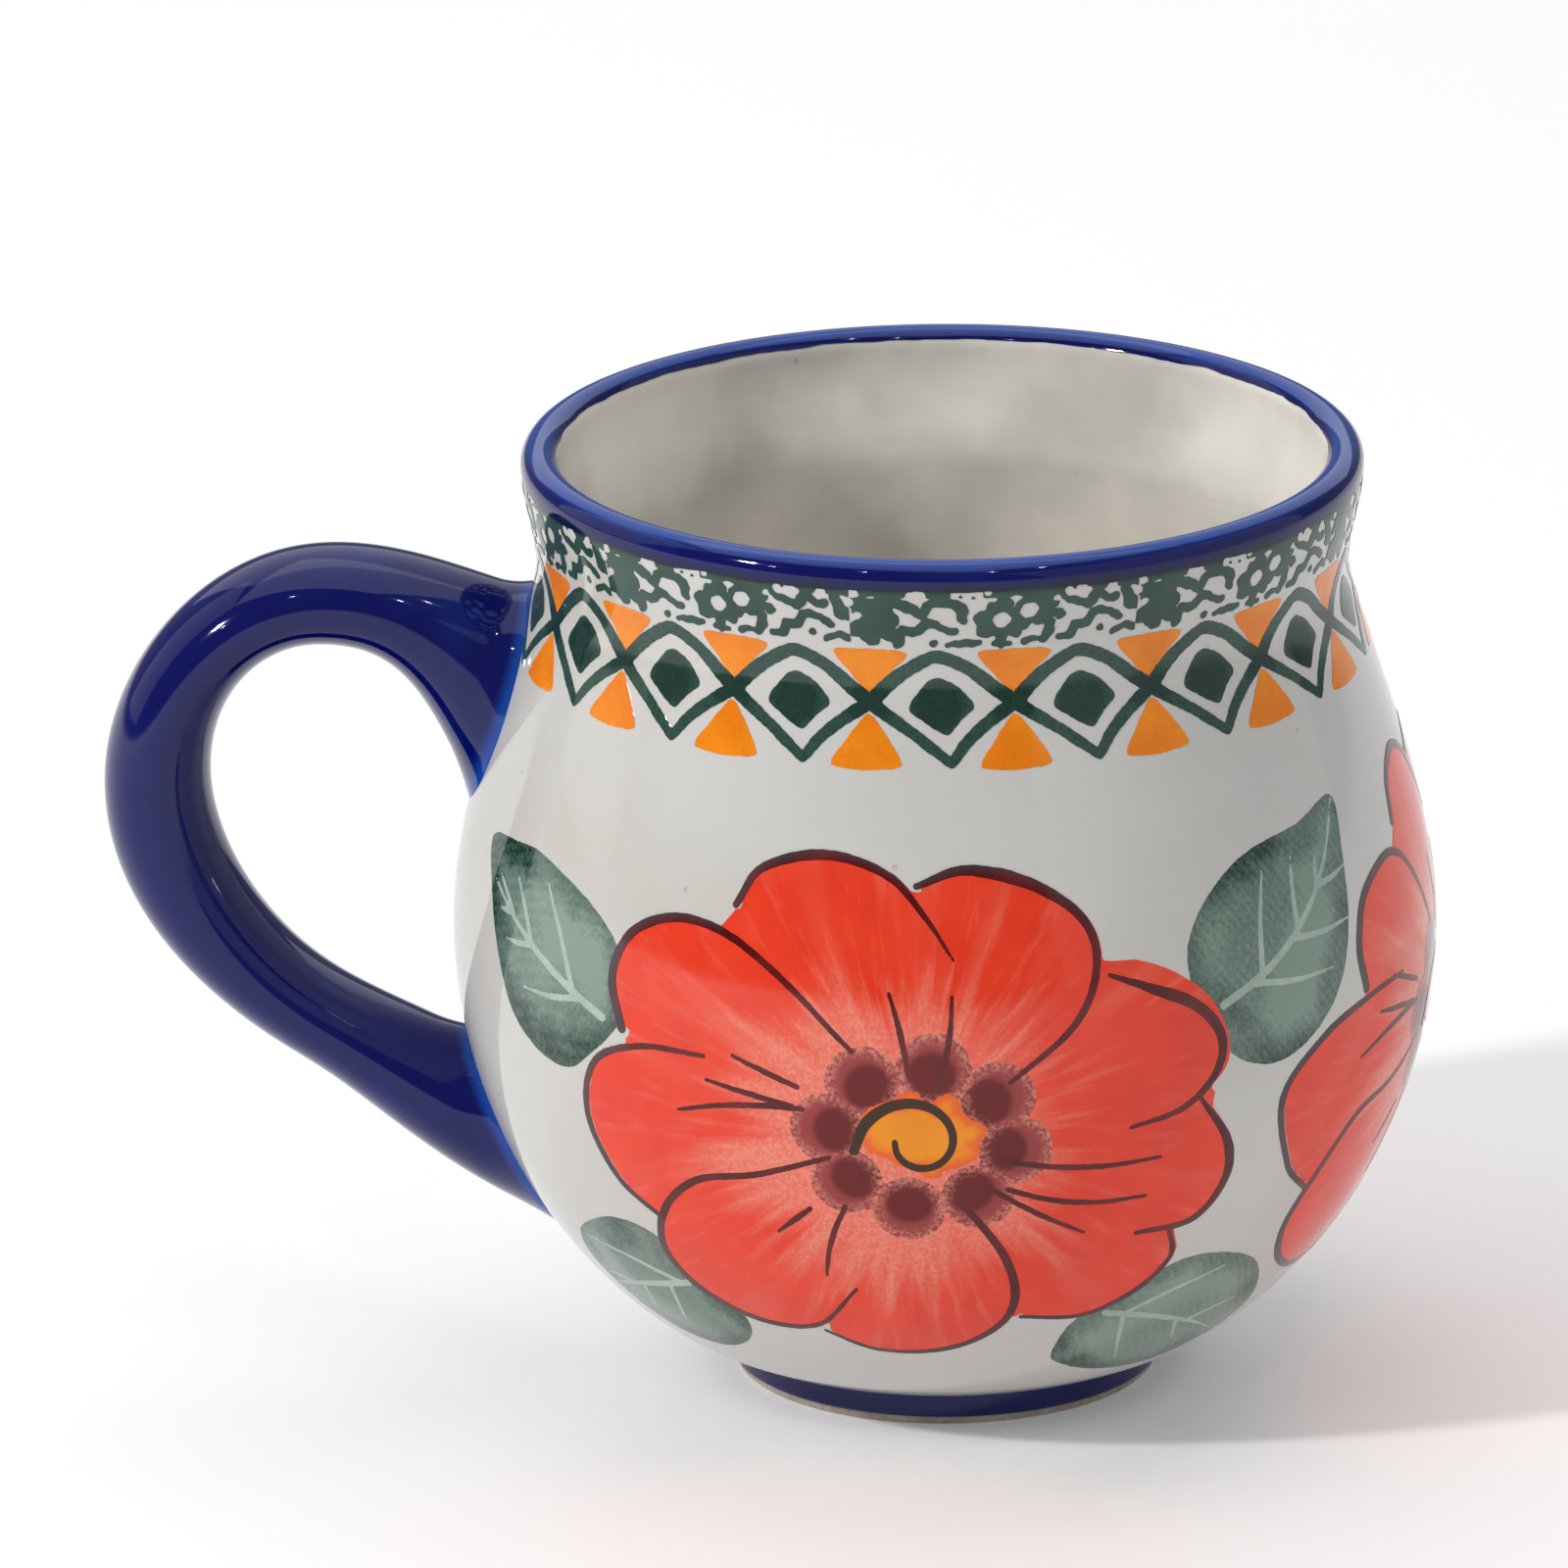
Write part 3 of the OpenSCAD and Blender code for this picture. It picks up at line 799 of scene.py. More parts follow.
# The chain, round one diamond. Heights count from the belly along the wall.
CHAIN_CROSSING = 35.2
DIAMOND_STROKES = (
    (((-7, 35.2), (-4.6, 37.5), (-1.6, 39.5), (-0.2, 39.8), (2.4, 38.7), (7, 35.2)),
     (1.5, 1.35, 1.3, 1.5)),
    (((-7, 35.2), (-3.2, 32.7), (0.9, 29.6)), (1.4, 1.1, 1.0)),
    (((0.9, 29.6), (2.6, 31.8), (4.8, 33.7), (7, 35.2)), (1.0, 1.2, 1.4)),
)
DIAMOND_HEART = ((-0.9, 37.6), (0.4, 37.5), (2, 36.4), (3.1, 35), (2.1, 33.9), (0.8, 32.4),
                 (0.2, 32.3), (-1.6, 33.4), (-3.1, 34.7), (-2.3, 36.3))
UPPER_TRIANGLE = ((-3.5, 40.2), (-0.2, 40.5), (3.6, 40.2), (2.1, 38.3), (0.3, 36.2),
                  (-0.3, 36.2), (-1.9, 38))
LOWER_TRIANGLE = ((0, 34.1), (-1.3, 32.7), (-3.3, 29.6), (-2.8, 29), (0, 28.8), (2.8, 29.1),
                  (3.2, 29.8), (1.6, 32.4))
TRIANGLE_MIDDLE = 7.0

# The stamp, round its ring flower. Heights count from the foot of the stamp.
STAMP_BASE = 41.0
STAMP_LEFT = -14.3
STAMP_RIGHT = 13.3
STAMP_TOP = 6.4
STAMP_DABS = (
    (-0.1, 2.7, 1.75), (-1.9, 2.9, 0.8), (-1.7, 1.6, 0.8), (0.2, 4.3, 0.9), (1.2, 1.5, 0.8),
    (-0.9, 4.0, 0.7), (2.6, 3.6, 1.5), (2.1, 2.2, 0.7), (3.6, 2.7, 0.8), (4.3, 4.4, 1.1),
    (5.5, 2.9, 0.55), (-12.1, 3.0, 2.0), (-12.6, 1.1, 0.9), (-10.5, 2.7, 0.9), (-10.7, 1.3, 0.8),
    (-13.7, 1.6, 0.9), (-11.1, 4.3, 1.0), (-13.4, 4.4, 0.9), (-12.2, 0.6, 0.7), (9.6, 0.9, 0.35),
    (-6.4, 0.25, 0.38), (12.6, 3.4, 0.8), (10.8, 4.1, 0.5),
)
STAMP_STROKES = (
    (((0, 1.3), (0, 0.2)), (1.1, 0.9)),
    (((-0.7, 0.1), (0.8, 0.1)), (0.5, 0.5)),
    (((4.6, 2.2), (4.5, 1.2), (4.0, 0.2)), (1.0, 0.9, 0.7)),
    (((2.3, 0.3), (3.1, 0.5), (4.0, 0.4)), (0.7, 0.5, 0.5)),
    (((4.4, 3.4), (5.5, 2.9)), (0.8, 0.9)),
    (((5.6, 5.2), (6.6, 4.4), (8.3, 3.8), (9.1, 5.2)), (0.9, 0.7, 0.9, 1.0)),
    (((5.6, 0.5), (6.6, 0.6), (7.1, 1.6), (8.2, 1.7), (8.9, 2.8), (10.4, 2.7), (11.4, 1.9)),
     (0.7, 0.9, 0.8, 0.7)),
    (((9.1, 5.2), (10.0, 4.2), (10.9, 4.2)), (0.9, 0.7)),
    (((11.0, 0.5), (12.2, 0.9), (13.2, 0.6)), (0.7, 0.7)),
    (((11.8, 5.2), (12.4, 4.0), (13.4, 2.9)), (0.9, 1.0)),
    (((-9.8, 0.2), (-9.3, 1.6), (-8.0, 1.5), (-6.9, 2.5), (-5.6, 1.9), (-4.5, 1.5)),
     (1.0, 0.9, 0.8, 0.7)),
    (((-10.4, 1.0), (-9.8, 0.3)), (0.7, 0.9)),
    (((-9.8, 4.6), (-8.4, 3.9), (-7.5, 3.4), (-6.6, 4.5), (-4.8, 4.6), (-3.8, 4.0), (-3.7, 2.9)),
     (1.1, 0.9, 0.9, 1.0)),
    (((-5.0, 0.1), (-3.7, 0.3), (-2.2, 0.3)), (0.6, 0.75, 0.6)),
    (((-14.4, 6.2), (13.4, 6.2)), (2.0, 2.0)),
)
STAMP_HOLES = (
    (0, 2.7, 0.85), (2.6, 3.6, 0.85), (-13.6, 3.1, 0.45), (-7.9, 5.2, 0.7), (-8.6, 5.3, 0.45),
    (-4.4, 5.5, 0.45), (-3.2, 5.5, 0.55), (-2.2, 5.4, 0.45), (-1.3, 5.6, 0.35), (6.4, 5.2, 0.45),
    (7.6, 5.2, 0.65), (8.1, 5.1, 0.5), (5.2, 4.6, 0.35), (10.6, 5.3, 0.5), (-13.9, 5.4, 0.5),
    (-14.2, 4.4, 0.4),
)


def above_belly(outline):
    """Millimetres along the outline from the foot to the widest circle."""
    return outline.at["belly"] / MM


def raised(points, by):
    """Points moved up the sheet."""
    return [(x, y + by) for x, y in points]


def crease_path(direction, far, near, bend):
    """A crease in a petal, from its far end in towards the flower's heart."""
    share = np.linspace(0, 1, 4)
    angle = np.radians(direction + bend * share)
    reach = far + (near - far) * share
    return list(zip(FLOWER_HEART[0] + reach * np.cos(angle), FLOWER_HEART[1] + reach * np.sin(angle)))


def bead_places():
    """The centres of the dark beads, evenly round their oval."""
    x, y, half_width, half_height = BEAD_RING
    angle = np.radians(BEAD_TURN + 360 / BEAD_COUNT * np.arange(BEAD_COUNT))
    return list(zip(x + half_width * np.cos(angle), y + half_height * np.sin(angle)))


def spiral_path():
    """The line in the flower's heart: a spiral that swings out at its end."""
    share = np.linspace(0, 1, 14)
    angle = np.radians(SPIRAL_START + SPIRAL_SWEEP * share)
    radius = SPIRAL_RADIUS + SPIRAL_GROWTH * share + SPIRAL_SWING * share ** 5
    return list(zip(SPIRAL_CENTRE[0] + radius * np.cos(angle),
                    SPIRAL_CENTRE[1] + radius * np.sin(angle)))


def vein_paths(base, tip, bow, side_veins):
    """The midrib of a leaf and its side veins, each with its brush widths."""
    base, tip = np.array(base, float), np.array(tip, float)
    along = tip - base
    across = np.array((-along[1], along[0])) / np.hypot(*along)
    heading = math.degrees(math.atan2(along[1], along[0]))

    def on_midrib(share):
        return base + share * along + 4 * share * (1 - share) * bow * across

    paths = [([tuple(on_midrib(share)) for share in np.linspace(0, 1, 5)], (1.1, 0.9, 0.3))]
    for share, turn, length in side_veins:
        start = on_midrib(share)
        path = [tuple(start)]
        for part, lean in ((0.5, 4), (1.0, 0)):
            way = math.radians(heading + turn + math.copysign(lean, turn))
            path.append((start[0] + part * length * math.cos(way),
                         start[1] + part * length * math.sin(way)))
        paths.append((path, (0.9, 0.7, 0.3)))
    return paths


def main_flower(points):
    """The flower on the front, as drawn."""
    return list(points)


def side_flower(points):
    """The same flower, painted again with its left petals narrower."""
    moved = []
    for x, y in points:
        left = min(max((-6 - x) / 20, 0), 1)
        high = min(max((y + 8) / 10, 0), 1)
        middle = max(1 - abs(y + 7) / 11, 0)
        moved.append((x + 7.5 * left * high, y + 2.5 * left * middle - 0.8 * left * high))
    return moved


def petal_sheet(belly, step, drawn_as):
    """The red ground of one flower."""
    sheet = Sheet(-40, 34, belly - 37, belly + 25, step)
    heart = (FLOWER_HEART[0], FLOWER_HEART[1] + belly)
    spread = 0.5
    for name, (line, _) in PETALS.items():
        outline = drawn_as(SPREAD_TOP if name == "right_top" else line)
        shape = smooth_path(raised(outline, belly), spacing=0.8) + (spread, 0.1)
        sheet.fill(np.vstack((shape, heart)))
    sheet.fill(raised(drawn_as(NOTCHES), belly))
    sheet.roughen(0.07)
    return sheet


def paint_flower(outline, materials, label, drawn_as, count, first):
    """Petals, their drawn lines, the dark beads, and the yellow heart with its spiral."""
    belly = above_belly(outline)
    radius = bpy.context.scene.mug_shape.belly_radius
    round_mug = {"count": count, "pitch": FLOWER_PITCH, "first": first, "radius": radius}
    heart_x, heart_y = FLOWER_HEART[0], FLOWER_HEART[1] + belly

    red = petal_sheet(belly, 0.5, drawn_as)
    petals = painted_piece(label + "_petals", outline, red, materials["petal"], 3, **round_mug,
                           marks=radial_marks(red, heart_x, heart_y))
    ink = Sheet(-40, 34, belly - 37, belly + 25, 0.22)
    for line, widths in PETALS.values():
        ink.stroke(raised(drawn_as(line), belly), *(0.8 * width for width in widths))
    for crease in PETAL_CREASES:
        ink.stroke(raised(crease_path(*crease), belly), 0.35, 0.62, 0.55)
    ink.roughen(0.04)
    ground = petal_sheet(belly, 0.22, drawn_as).paint
    lines = painted_piece(label + "_lines", outline, ink, materials["line"], 5, **round_mug,
                          marks={"on_red": np.clip(0.5 + ground, 0, 1)})
    dabs = Sheet(-16, 13, belly - 20, belly + 5, 0.3)
    core = Sheet(-16, 13, belly - 20, belly + 5, 0.3)
    for x, y in bead_places():
        dabs.dab(x, y + belly, 3.6)
        core.dab(x * 0.87 + FLOWER_HEART[0] * 0.13, y * 0.9 + FLOWER_HEART[1] * 0.1 + belly, 2.5)
    dabs.roughen(0.12)
    beads = painted_piece(label + "_beads", outline, dabs, materials["bead"], 4, **round_mug,
                          marks={"core": np.clip(core.paint, -2, 2),
                                 "edge": np.clip(dabs.paint, 0, 3)})
    gold = Sheet(-10, 6, belly - 12, belly + 1, 0.25)
    for x, y, dab_radius in HEART_DABS:
        gold.dab(x, y + belly, dab_radius)
    gold.roughen(0.3)
    hearts = painted_piece(label + "_hearts", outline, gold, materials["heart"], 6, **round_mug,
                           marks={"edge": np.clip(gold.paint, 0, 3)})
    curl = Sheet(-10, 5, belly - 12, belly, 0.18)
    curl.stroke(raised(spiral_path(), belly), 0.6, 0.8, 0.75, 0.85, 1.05, 1.2, 0.9)
    spirals = painted_piece(label + "_spirals", outline, curl, materials["spiral"], 7, **round_mug)
    layers = (("petal", petals), ("line", lines), ("bead", beads), ("heart", hearts),
              ("spiral", spirals))
    for finish, piece in layers:
        finish_piece(piece, materials[finish], "painted_glaze")


def paint_flowers(outline, materials):
    """The main flower, and the two beside and behind it."""
    paint_flower(outline, materials, "main_flower", main_flower, 1, 0.0)
    paint_flower(outline, materials, "side_flowers", side_flower, FLOWER_COUNT - 1, FLOWER_PITCH)


def radial_marks(sheet, heart_x, heart_y):
    """How far each point is from the flower's heart, and in which direction."""
    away_x, away_y = sheet.x - heart_x, sheet.y - heart_y
    away = np.maximum(np.hypot(away_x, away_y), 0.5)
    return {"heart_x": away_x / away, "heart_y": away_y / away, "away": away}


def paint_leaves(outline, materials):
    """Green leaves between the flowers, with their veins left pale."""
    belly = above_belly(outline)
    radius = bpy.context.scene.mug_shape.belly_radius
    sides = (
        ("right", RIGHT_LEAVES, RIGHT_VEINS, (10, 52), FLOWER_COUNT),
        ("left", LEFT_LEAVES, LEFT_VEINS, (-62, -20), 1),
    )
    for side, leaves, veins, (left, right), count in sides:
        round_mug = {"count": count, "pitch": FLOWER_PITCH, "radius": radius}
        wash = Sheet(left, right, belly - 47, belly + 24, 0.4)
        for leaf in leaves:
            wash.fill(smooth_path(raised(leaf, belly), closed=True, spacing=1.0))
        wash.roughen(0.06)
        leaf_piece = painted_piece(f"leaves_{side}", outline, wash, materials["leaf"], 1,
                                   **round_mug, marks={"edge": np.clip(wash.paint, 0, 8)})
        lines = Sheet(left, right, belly - 47, belly + 24, 0.25)
        for leaf in veins:
            for path, widths in vein_paths(*leaf):
                lines.stroke(raised(path, belly), *(0.8 * width for width in widths))
        lines.roughen(0.06)
        vein_piece = painted_piece(f"leaf_veins_{side}", outline, lines, materials["vein"], 2,
                                   **round_mug)
        finish_piece(leaf_piece, materials["leaf"], "painted_glaze")
        finish_piece(vein_piece, materials["vein"], "painted_glaze")


def paint_chain(outline, materials):
    """The chain of green diamonds with orange triangles between them."""
    belly = above_belly(outline)
    pitch = 2 * math.pi / CHAIN_COUNT
    half = TRIANGLE_MIDDLE
    radius = half * MM / (pitch / 2)
    first = math.radians(0.8)
    green = Sheet(-half, half, belly + 28, belly + 42, 0.2)
    for line, widths in DIAMOND_STROKES:
        green.stroke(raised(line, belly), *widths)
    green.fill(smooth_path(raised(DIAMOND_HEART, belly), closed=True, spacing=0.4))
    green.roughen(0.08)
    green.crop(-half, half)
    crossing = 2.0 - np.hypot((half - np.abs(green.x)) * 0.8, green.y - CHAIN_CROSSING - belly)
    middle = 2.4 - np.hypot(green.x + 0.3, green.y - 35 - belly)
    diamonds = painted_piece("chain_diamonds", outline, green, materials["green"], 4,
                             count=CHAIN_COUNT, pitch=pitch, first=first, radius=radius,
                             marks={"overlap": np.clip(np.maximum(crossing, middle), -1, 1)})
    orange = Sheet(-4.5, 4.5, belly + 27, belly + 42, 0.24)
    for triangle in (UPPER_TRIANGLE, LOWER_TRIANGLE):
        orange.fill(smooth_path(raised(triangle, belly), closed=True, spacing=0.4))
    orange.roughen(0.08)
    triangles = painted_piece("chain_triangles", outline, orange, materials["orange"], 3,
                              count=CHAIN_COUNT, pitch=pitch, first=first + pitch / 2,
                              radius=radius)
    finish_piece(diamonds, materials["green"], "painted_glaze")
    finish_piece(triangles, materials["orange"], "painted_glaze")


def paint_collar(outline, materials):
    """The stamped collar of small flowers and waves below the rim."""
    base = above_belly(outline) + STAMP_BASE
    pitch = 2 * math.pi / COLLAR_COUNT
    radius = (STAMP_RIGHT - STAMP_LEFT) * MM / pitch
    stamp = Sheet(STAMP_LEFT, STAMP_RIGHT, base - 0.6, base + STAMP_TOP, 0.17)
    for x, y, dab_radius in STAMP_DABS:
        stamp.dab(x, y + base, dab_radius)
    for line, widths in STAMP_STROKES:
        stamp.stroke(raised(line, base), *(1.12 * width for width in widths))
    for x, y, hole_radius in STAMP_HOLES:
        away = np.hypot(stamp.x - x, stamp.y - base - y)
        stamp.paint = np.minimum(stamp.paint, away - hole_radius)
    stamp.roughen(0.16)
    stamp.crop(STAMP_LEFT, STAMP_RIGHT)
    stamp.paint = np.minimum(stamp.paint, base + STAMP_TOP - stamp.y)
    collar = painted_piece("stamped_collar", outline, stamp, materials["stamp"], 5,
                           count=COLLAR_COUNT, pitch=pitch, first=math.radians(9),
                           radius=radius, marks={"height": stamp.y - base})
    finish_piece(collar, materials["stamp"], "painted_glaze")


# ---------------------------------------------------------------- the handle

def handle_curves(shape, handle, steps):
    """The handle's outer and inner side, as matched points of (distance from the axis, height)."""
    belly = shape.belly_radius
    crest_out = np.array((belly + 11.5 * MM, handle.crest_height))
    bend_out = np.array((handle.reach, handle.bend_height))
    elbow_out = np.array((belly + 14.5 * MM, handle.elbow_height))
    crest_in = crest_out + (1 * MM, -handle.crest_thickness)
    bend_in = bend_out + (-handle.bend_thickness, 1.3 * MM)
    elbow_in = elbow_out + handle.elbow_thickness * np.array((-0.45, 0.89))
    elbow_run = np.array((0.862, 0.507))
    mm = np.array((MM, MM))
    outer = (
        cubic((shape.neck_radius - 3.8 * MM, handle.crest_height - 5.8 * MM),
              crest_out - (15, 3.8) * mm, crest_out - (9, 0) * mm, crest_out, steps),
        cubic(crest_out, crest_out + (0.54 * (bend_out[0] - crest_out[0]), 0),
              bend_out + (0, 0.5 * (crest_out[1] - bend_out[1])), bend_out, steps),
        cubic(bend_out, bend_out - (0, 0.48 * (bend_out[1] - elbow_out[1])),
              elbow_out + 9.9 * MM * elbow_run, elbow_out, steps),
        cubic(elbow_out, elbow_out - 8.2 * MM * elbow_run,
              (belly - 3.5 * MM, handle.tail_height + 1 * MM),
              (shape.foot_radius + 7 * MM, handle.tail_height), steps),
    )
    inner = (
        cubic((belly - 6.5 * MM, shape.belly_height + 1 * MM),
              (belly + 1.5 * MM, crest_in[1] - 5.5 * MM), crest_in - (9, 0) * mm, crest_in, steps),
        cubic(crest_in, crest_in + (0.52 * (bend_in[0] - crest_in[0]), 0),
              bend_in + (0, 0.6 * (crest_in[1] - bend_in[1])), bend_in, steps),
        cubic(bend_in, bend_in - (0, 0.35 * (bend_in[1] - elbow_in[1])),
              elbow_in + 8.6 * MM * elbow_run, elbow_in, steps),
        cubic(elbow_in, elbow_in - 7.2 * MM * elbow_run,
              (belly - 1.5 * MM, handle.elbow_height + 2.8 * MM),
              (belly - 9.5 * MM, handle.elbow_height - 3.5 * MM), steps),
    )
    joined = [np.vstack([side[0][:1]] + [part[1:] for part in side]) for side in (outer, inner)]
    return joined


def eased(values, reach):
    """Averages each row with its neighbours, and keeps both ends."""
    weights = np.hanning(2 * reach + 3)[1:-1]
    weights /= weights.sum()
    padded = np.vstack((2 * values[0] - values[reach:0:-1], values,
                        2 * values[-1] - values[-2:-reach - 2:-1]))
    return np.column_stack([np.convolve(column, weights, "valid") for column in padded.T])


def make_handle(outline, material):
    """The blue handle: a closed sweep whose glaze swells and thins where it meets the wall."""
    shape = bpy.context.scene.mug_shape
    handle = bpy.context.scene.mug_handle
    steps, corners, smoothing = 44, 80, 7
    outer, inner = (eased(side, smoothing) for side in handle_curves(shape, handle, steps))
    rings = len(outer)
    number = np.arange(rings)
    flare = np.clip(1 - np.minimum(number, rings - 1 - number) / steps, 0, 1) ** 2
    half_width = (handle.width + (handle.root_width - handle.width) * flare) / 2
    turn = 2 * math.pi * np.arange(corners) / corners
    middle = (outer + inner) / 2
    half = (outer - inner) / 2
    side_view = middle[:, None, :] + half[:, None, :] * np.cos(turn)[None, :, None]
    across = half_width[:, None] * np.sin(turn)[None, :]
    wall = outline.points[outline.length <= outline.at["lip_inside"]]
    place = np.dstack((-side_view[..., 0], across, side_view[..., 1]))
    centre = np.column_stack((-middle[:, 0], np.zeros(rings), middle[:, 1]))[:, None, :]
    from_axis = np.hypot(place[..., 0], place[..., 1])
    gap = from_axis - np.interp(place[..., 2], wall[:, 1], wall[:, 0])
    swell = handle.fillet * np.clip(1 - gap / (3.5 * MM), 0, 1) ** 2
    out_way = place - centre
    out_way /= np.linalg.norm(out_way, axis=2)[..., None]
    place = place + out_way * swell[..., None]
    from_axis = np.hypot(place[..., 0], place[..., 1])
    limit = np.interp(place[..., 2], wall[:, 1], wall[:, 0]) - 1.2 * MM
    push = np.maximum(limit / from_axis, 1)[..., None]
    place[..., :2] *= push
    gap = np.hypot(place[..., 0], place[..., 1]) - np.interp(place[..., 2], wall[:, 1], wall[:, 0])
    faces = []
    for i in range(rings - 1):
        for k in range(corners):
            a, b = i * corners + k, i * corners + (k + 1) % corners
            faces.append((a, a + corners, b + corners, b))
    faces.append(tuple(range(corners)))
    faces.append(tuple((rings - 1) * corners + k for k in reversed(range(corners))))
    mesh = bpy.data.meshes.new("handle_coat")
    mesh.from_pydata(place.reshape(-1, 3).tolist(), [], faces)
    piece = bpy.data.objects.new("handle_coat", mesh)
    bpy.context.collection.objects.link(piece)
    point_values(mesh, "gap", gap.ravel() / MM)
    edit = bmesh.new()
    edit.from_mesh(mesh)
    bmesh.ops.recalc_face_normals(edit, faces=edit.faces)
    edit.to_mesh(mesh)
    edit.free()
    mesh.shade_smooth()
    run = np.concatenate(([0], np.cumsum(np.hypot(*np.diff(middle, axis=0).T))))
    run /= run[-1]
    layer = mesh.uv_layers.new(name=BAKE_UV)
    uv = np.zeros((len(mesh.loops), 2), np.float32)
    for face in mesh.polygons:
        ids = [mesh.loops[i].vertex_index for i in face.loop_indices]
        if len(ids) > 4:
            uv[list(face.loop_indices)] = (0.995, 0.995)
            continue
        spins = [(i % corners) / corners for i in ids]
        seam = max(spins) - min(spins) > 0.5
        for corner, vertex, spin in zip(face.loop_indices, ids, spins):
            around = spin + 1 if seam and spin < 0.5 else spin
            strip = min(int(run[ids[0] // corners] * 3), 2)
            uv[corner] = (0.01 + 0.98 * (run[vertex // corners] * 3 - strip),
                          0.01 + (strip + 0.94 * around) / 3.1)
    layer.data.foreach_set("uv", uv.ravel())
    finish_piece(piece, material, "cobalt_glaze", "handle_glaze")


# ---------------------------------------------------------------- shader groups

def glaze_skin_group():
    """The skin of a fired glaze: slow ripples, orange peel, pinholes, and uneven gloss."""
    tree, given, out = fresh_tree("glaze skin", "ShaderNodeTree", (
        ("Ripple Size", "NodeSocketFloat", 0.012), ("Peel Size", "NodeSocketFloat", 0.0015),
        ("Gloss", "NodeSocketFloat", 0.06),
    ), (("Height", "NodeSocketFloat"), ("Roughness", "NodeSocketFloat"),
        ("Pinholes", "NodeSocketFloat")))
    place = add(tree, "ShaderNodeTexCoord").outputs["Object"]
    ripple = add(tree, "ShaderNodeTexNoise", Vector=place, Detail=1.0,
                 Scale=maths(tree, "DIVIDE", 1, given["Ripple Size"])).outputs[0]
    peel = add(tree, "ShaderNodeTexNoise", Vector=place, Detail=1.0,
               Scale=maths(tree, "DIVIDE", 1, given["Peel Size"])).outputs[0]
    cells = add(tree, "ShaderNodeTexVoronoi", Vector=place, Scale=230.0).outputs["Distance"]
    holes = ramp(tree, cells, 0.035, 0.075, 1, 0)
    height = maths(tree, "MULTIPLY_ADD", peel, 0.06, maths(tree, "MULTIPLY", ripple, 1.0))
    tree.links.new(maths(tree, "MULTIPLY_ADD", holes, -0.05, height), out["Height"])
    smear = add(tree, "ShaderNodeTexNoise", Vector=place, Scale=60.0, Detail=3.0).outputs[0]
    tree.links.new(maths(tree, "MULTIPLY_ADD", ramp(tree, smear, 0.35, 0.75), 0.03, given["Gloss"]),
                   out["Roughness"])
    tree.links.new(holes, out["Pinholes"])
    return tree


def pigment_grain_group():
    """The grain of brushed or sponged pigment under a glaze, and its slow change of strength."""
    tree, given, out = fresh_tree("pigment grain", "ShaderNodeTree", (
        ("Grain Size", "NodeSocketFloat", 0.0004), ("Cloud Size", "NodeSocketFloat", 0.005),
    ), (("Grain", "NodeSocketFloat"), ("Cloud", "NodeSocketFloat")))
    place = add(tree, "ShaderNodeTexCoord").outputs["Object"]
    grain = add(tree, "ShaderNodeTexNoise", Vector=place, Detail=2.0, Roughness=0.7,
                Scale=maths(tree, "DIVIDE", 1, given["Grain Size"])).outputs[0]
    cloud = add(tree, "ShaderNodeTexNoise", Vector=place, Detail=3.0,
                Scale=maths(tree, "DIVIDE", 1, given["Cloud Size"])).outputs[0]
    tree.links.new(ramp(tree, grain, 0.35, 0.68), out["Grain"])
    tree.links.new(ramp(tree, cloud, 0.34, 0.68), out["Cloud"])
    return tree


def shared(name, builder):
    """A shader group, built the first time that it is asked for."""
    return bpy.data.node_groups.get(name) or builder()


def new_material(name):
    """An empty material with a Principled shader."""
    material = bpy.data.materials.new(name)
    material.use_nodes = True
    tree = material.node_tree
    shader = next(n for n in tree.nodes if n.type == "BSDF_PRINCIPLED")
    return material, tree, shader


def glazed(name, colour, gloss=0.05, ripple=0.012, relief=0.2):
    """A glossy fired glaze over the colour that the given function paints."""
    material, tree, shader = new_material(name)
    skin = add(tree, "ShaderNodeGroup", {"node_tree": shared("glaze skin", glaze_skin_group)},
               Ripple_Size=ripple, Gloss=gloss)
    bump = add(tree, "ShaderNodeBump", Height=skin.outputs["Height"], Strength=relief,
               Distance=0.0003)
    tree.links.new(bump.outputs[0], shader.inputs["Normal"])
    tree.links.new(skin.outputs["Roughness"], shader.inputs["Roughness"])
    grain = add(tree, "ShaderNodeGroup", {"node_tree": shared("pigment grain",
                                                              pigment_grain_group)})
    tree.links.new(colour(tree, grain.outputs["Grain"], grain.outputs["Cloud"]),
                   shader.inputs["Base Color"])
    shader.inputs["IOR"].default_value = 1.5
    shader.inputs["Specular IOR Level"].default_value = 0.42
    return material


def mark(tree, name):
    """A value that a piece carries on its surface."""
    return add(tree, "ShaderNodeAttribute", {"attribute_name": name}).outputs["Fac"]


def white_colour(light, shade, colours):
    def colour(tree, grain, cloud):
        place = add(tree, "ShaderNodeTexCoord").outputs["Object"]
        pools = add(tree, "ShaderNodeTexNoise", Vector=place, Scale=45.0, Detail=4.0).outputs[0]
        base = blend(tree, ramp(tree, pools, 0.35, 0.75), light, shade)
        specks = add(tree, "ShaderNodeTexVoronoi", Vector=place, Scale=150.0).outputs["Distance"]
        dark = maths(tree, "MULTIPLY", ramp(tree, specks, 0.02, 0.06, 1, 0), 0.35)
        return blend(tree, dark, base, colours.clay_dark)
    return colour


def cobalt_colour(colours, thin_mask):
    def colour(tree, grain, cloud):
        place = add(tree, "ShaderNodeTexCoord").outputs["Object"]
        streaks = add(tree, "ShaderNodeTexNoise", Vector=place, Scale=120.0, Detail=4.0).outputs[0]
        thin = maths(tree, "MULTIPLY_ADD", ramp(tree, streaks, 0.5, 0.85), 0.16, thin_mask(tree))
        thin = maths(tree, "MINIMUM", thin, 1.0)
        return blend(tree, thin, colours.cobalt, colours.cobalt_thin)
    return colour


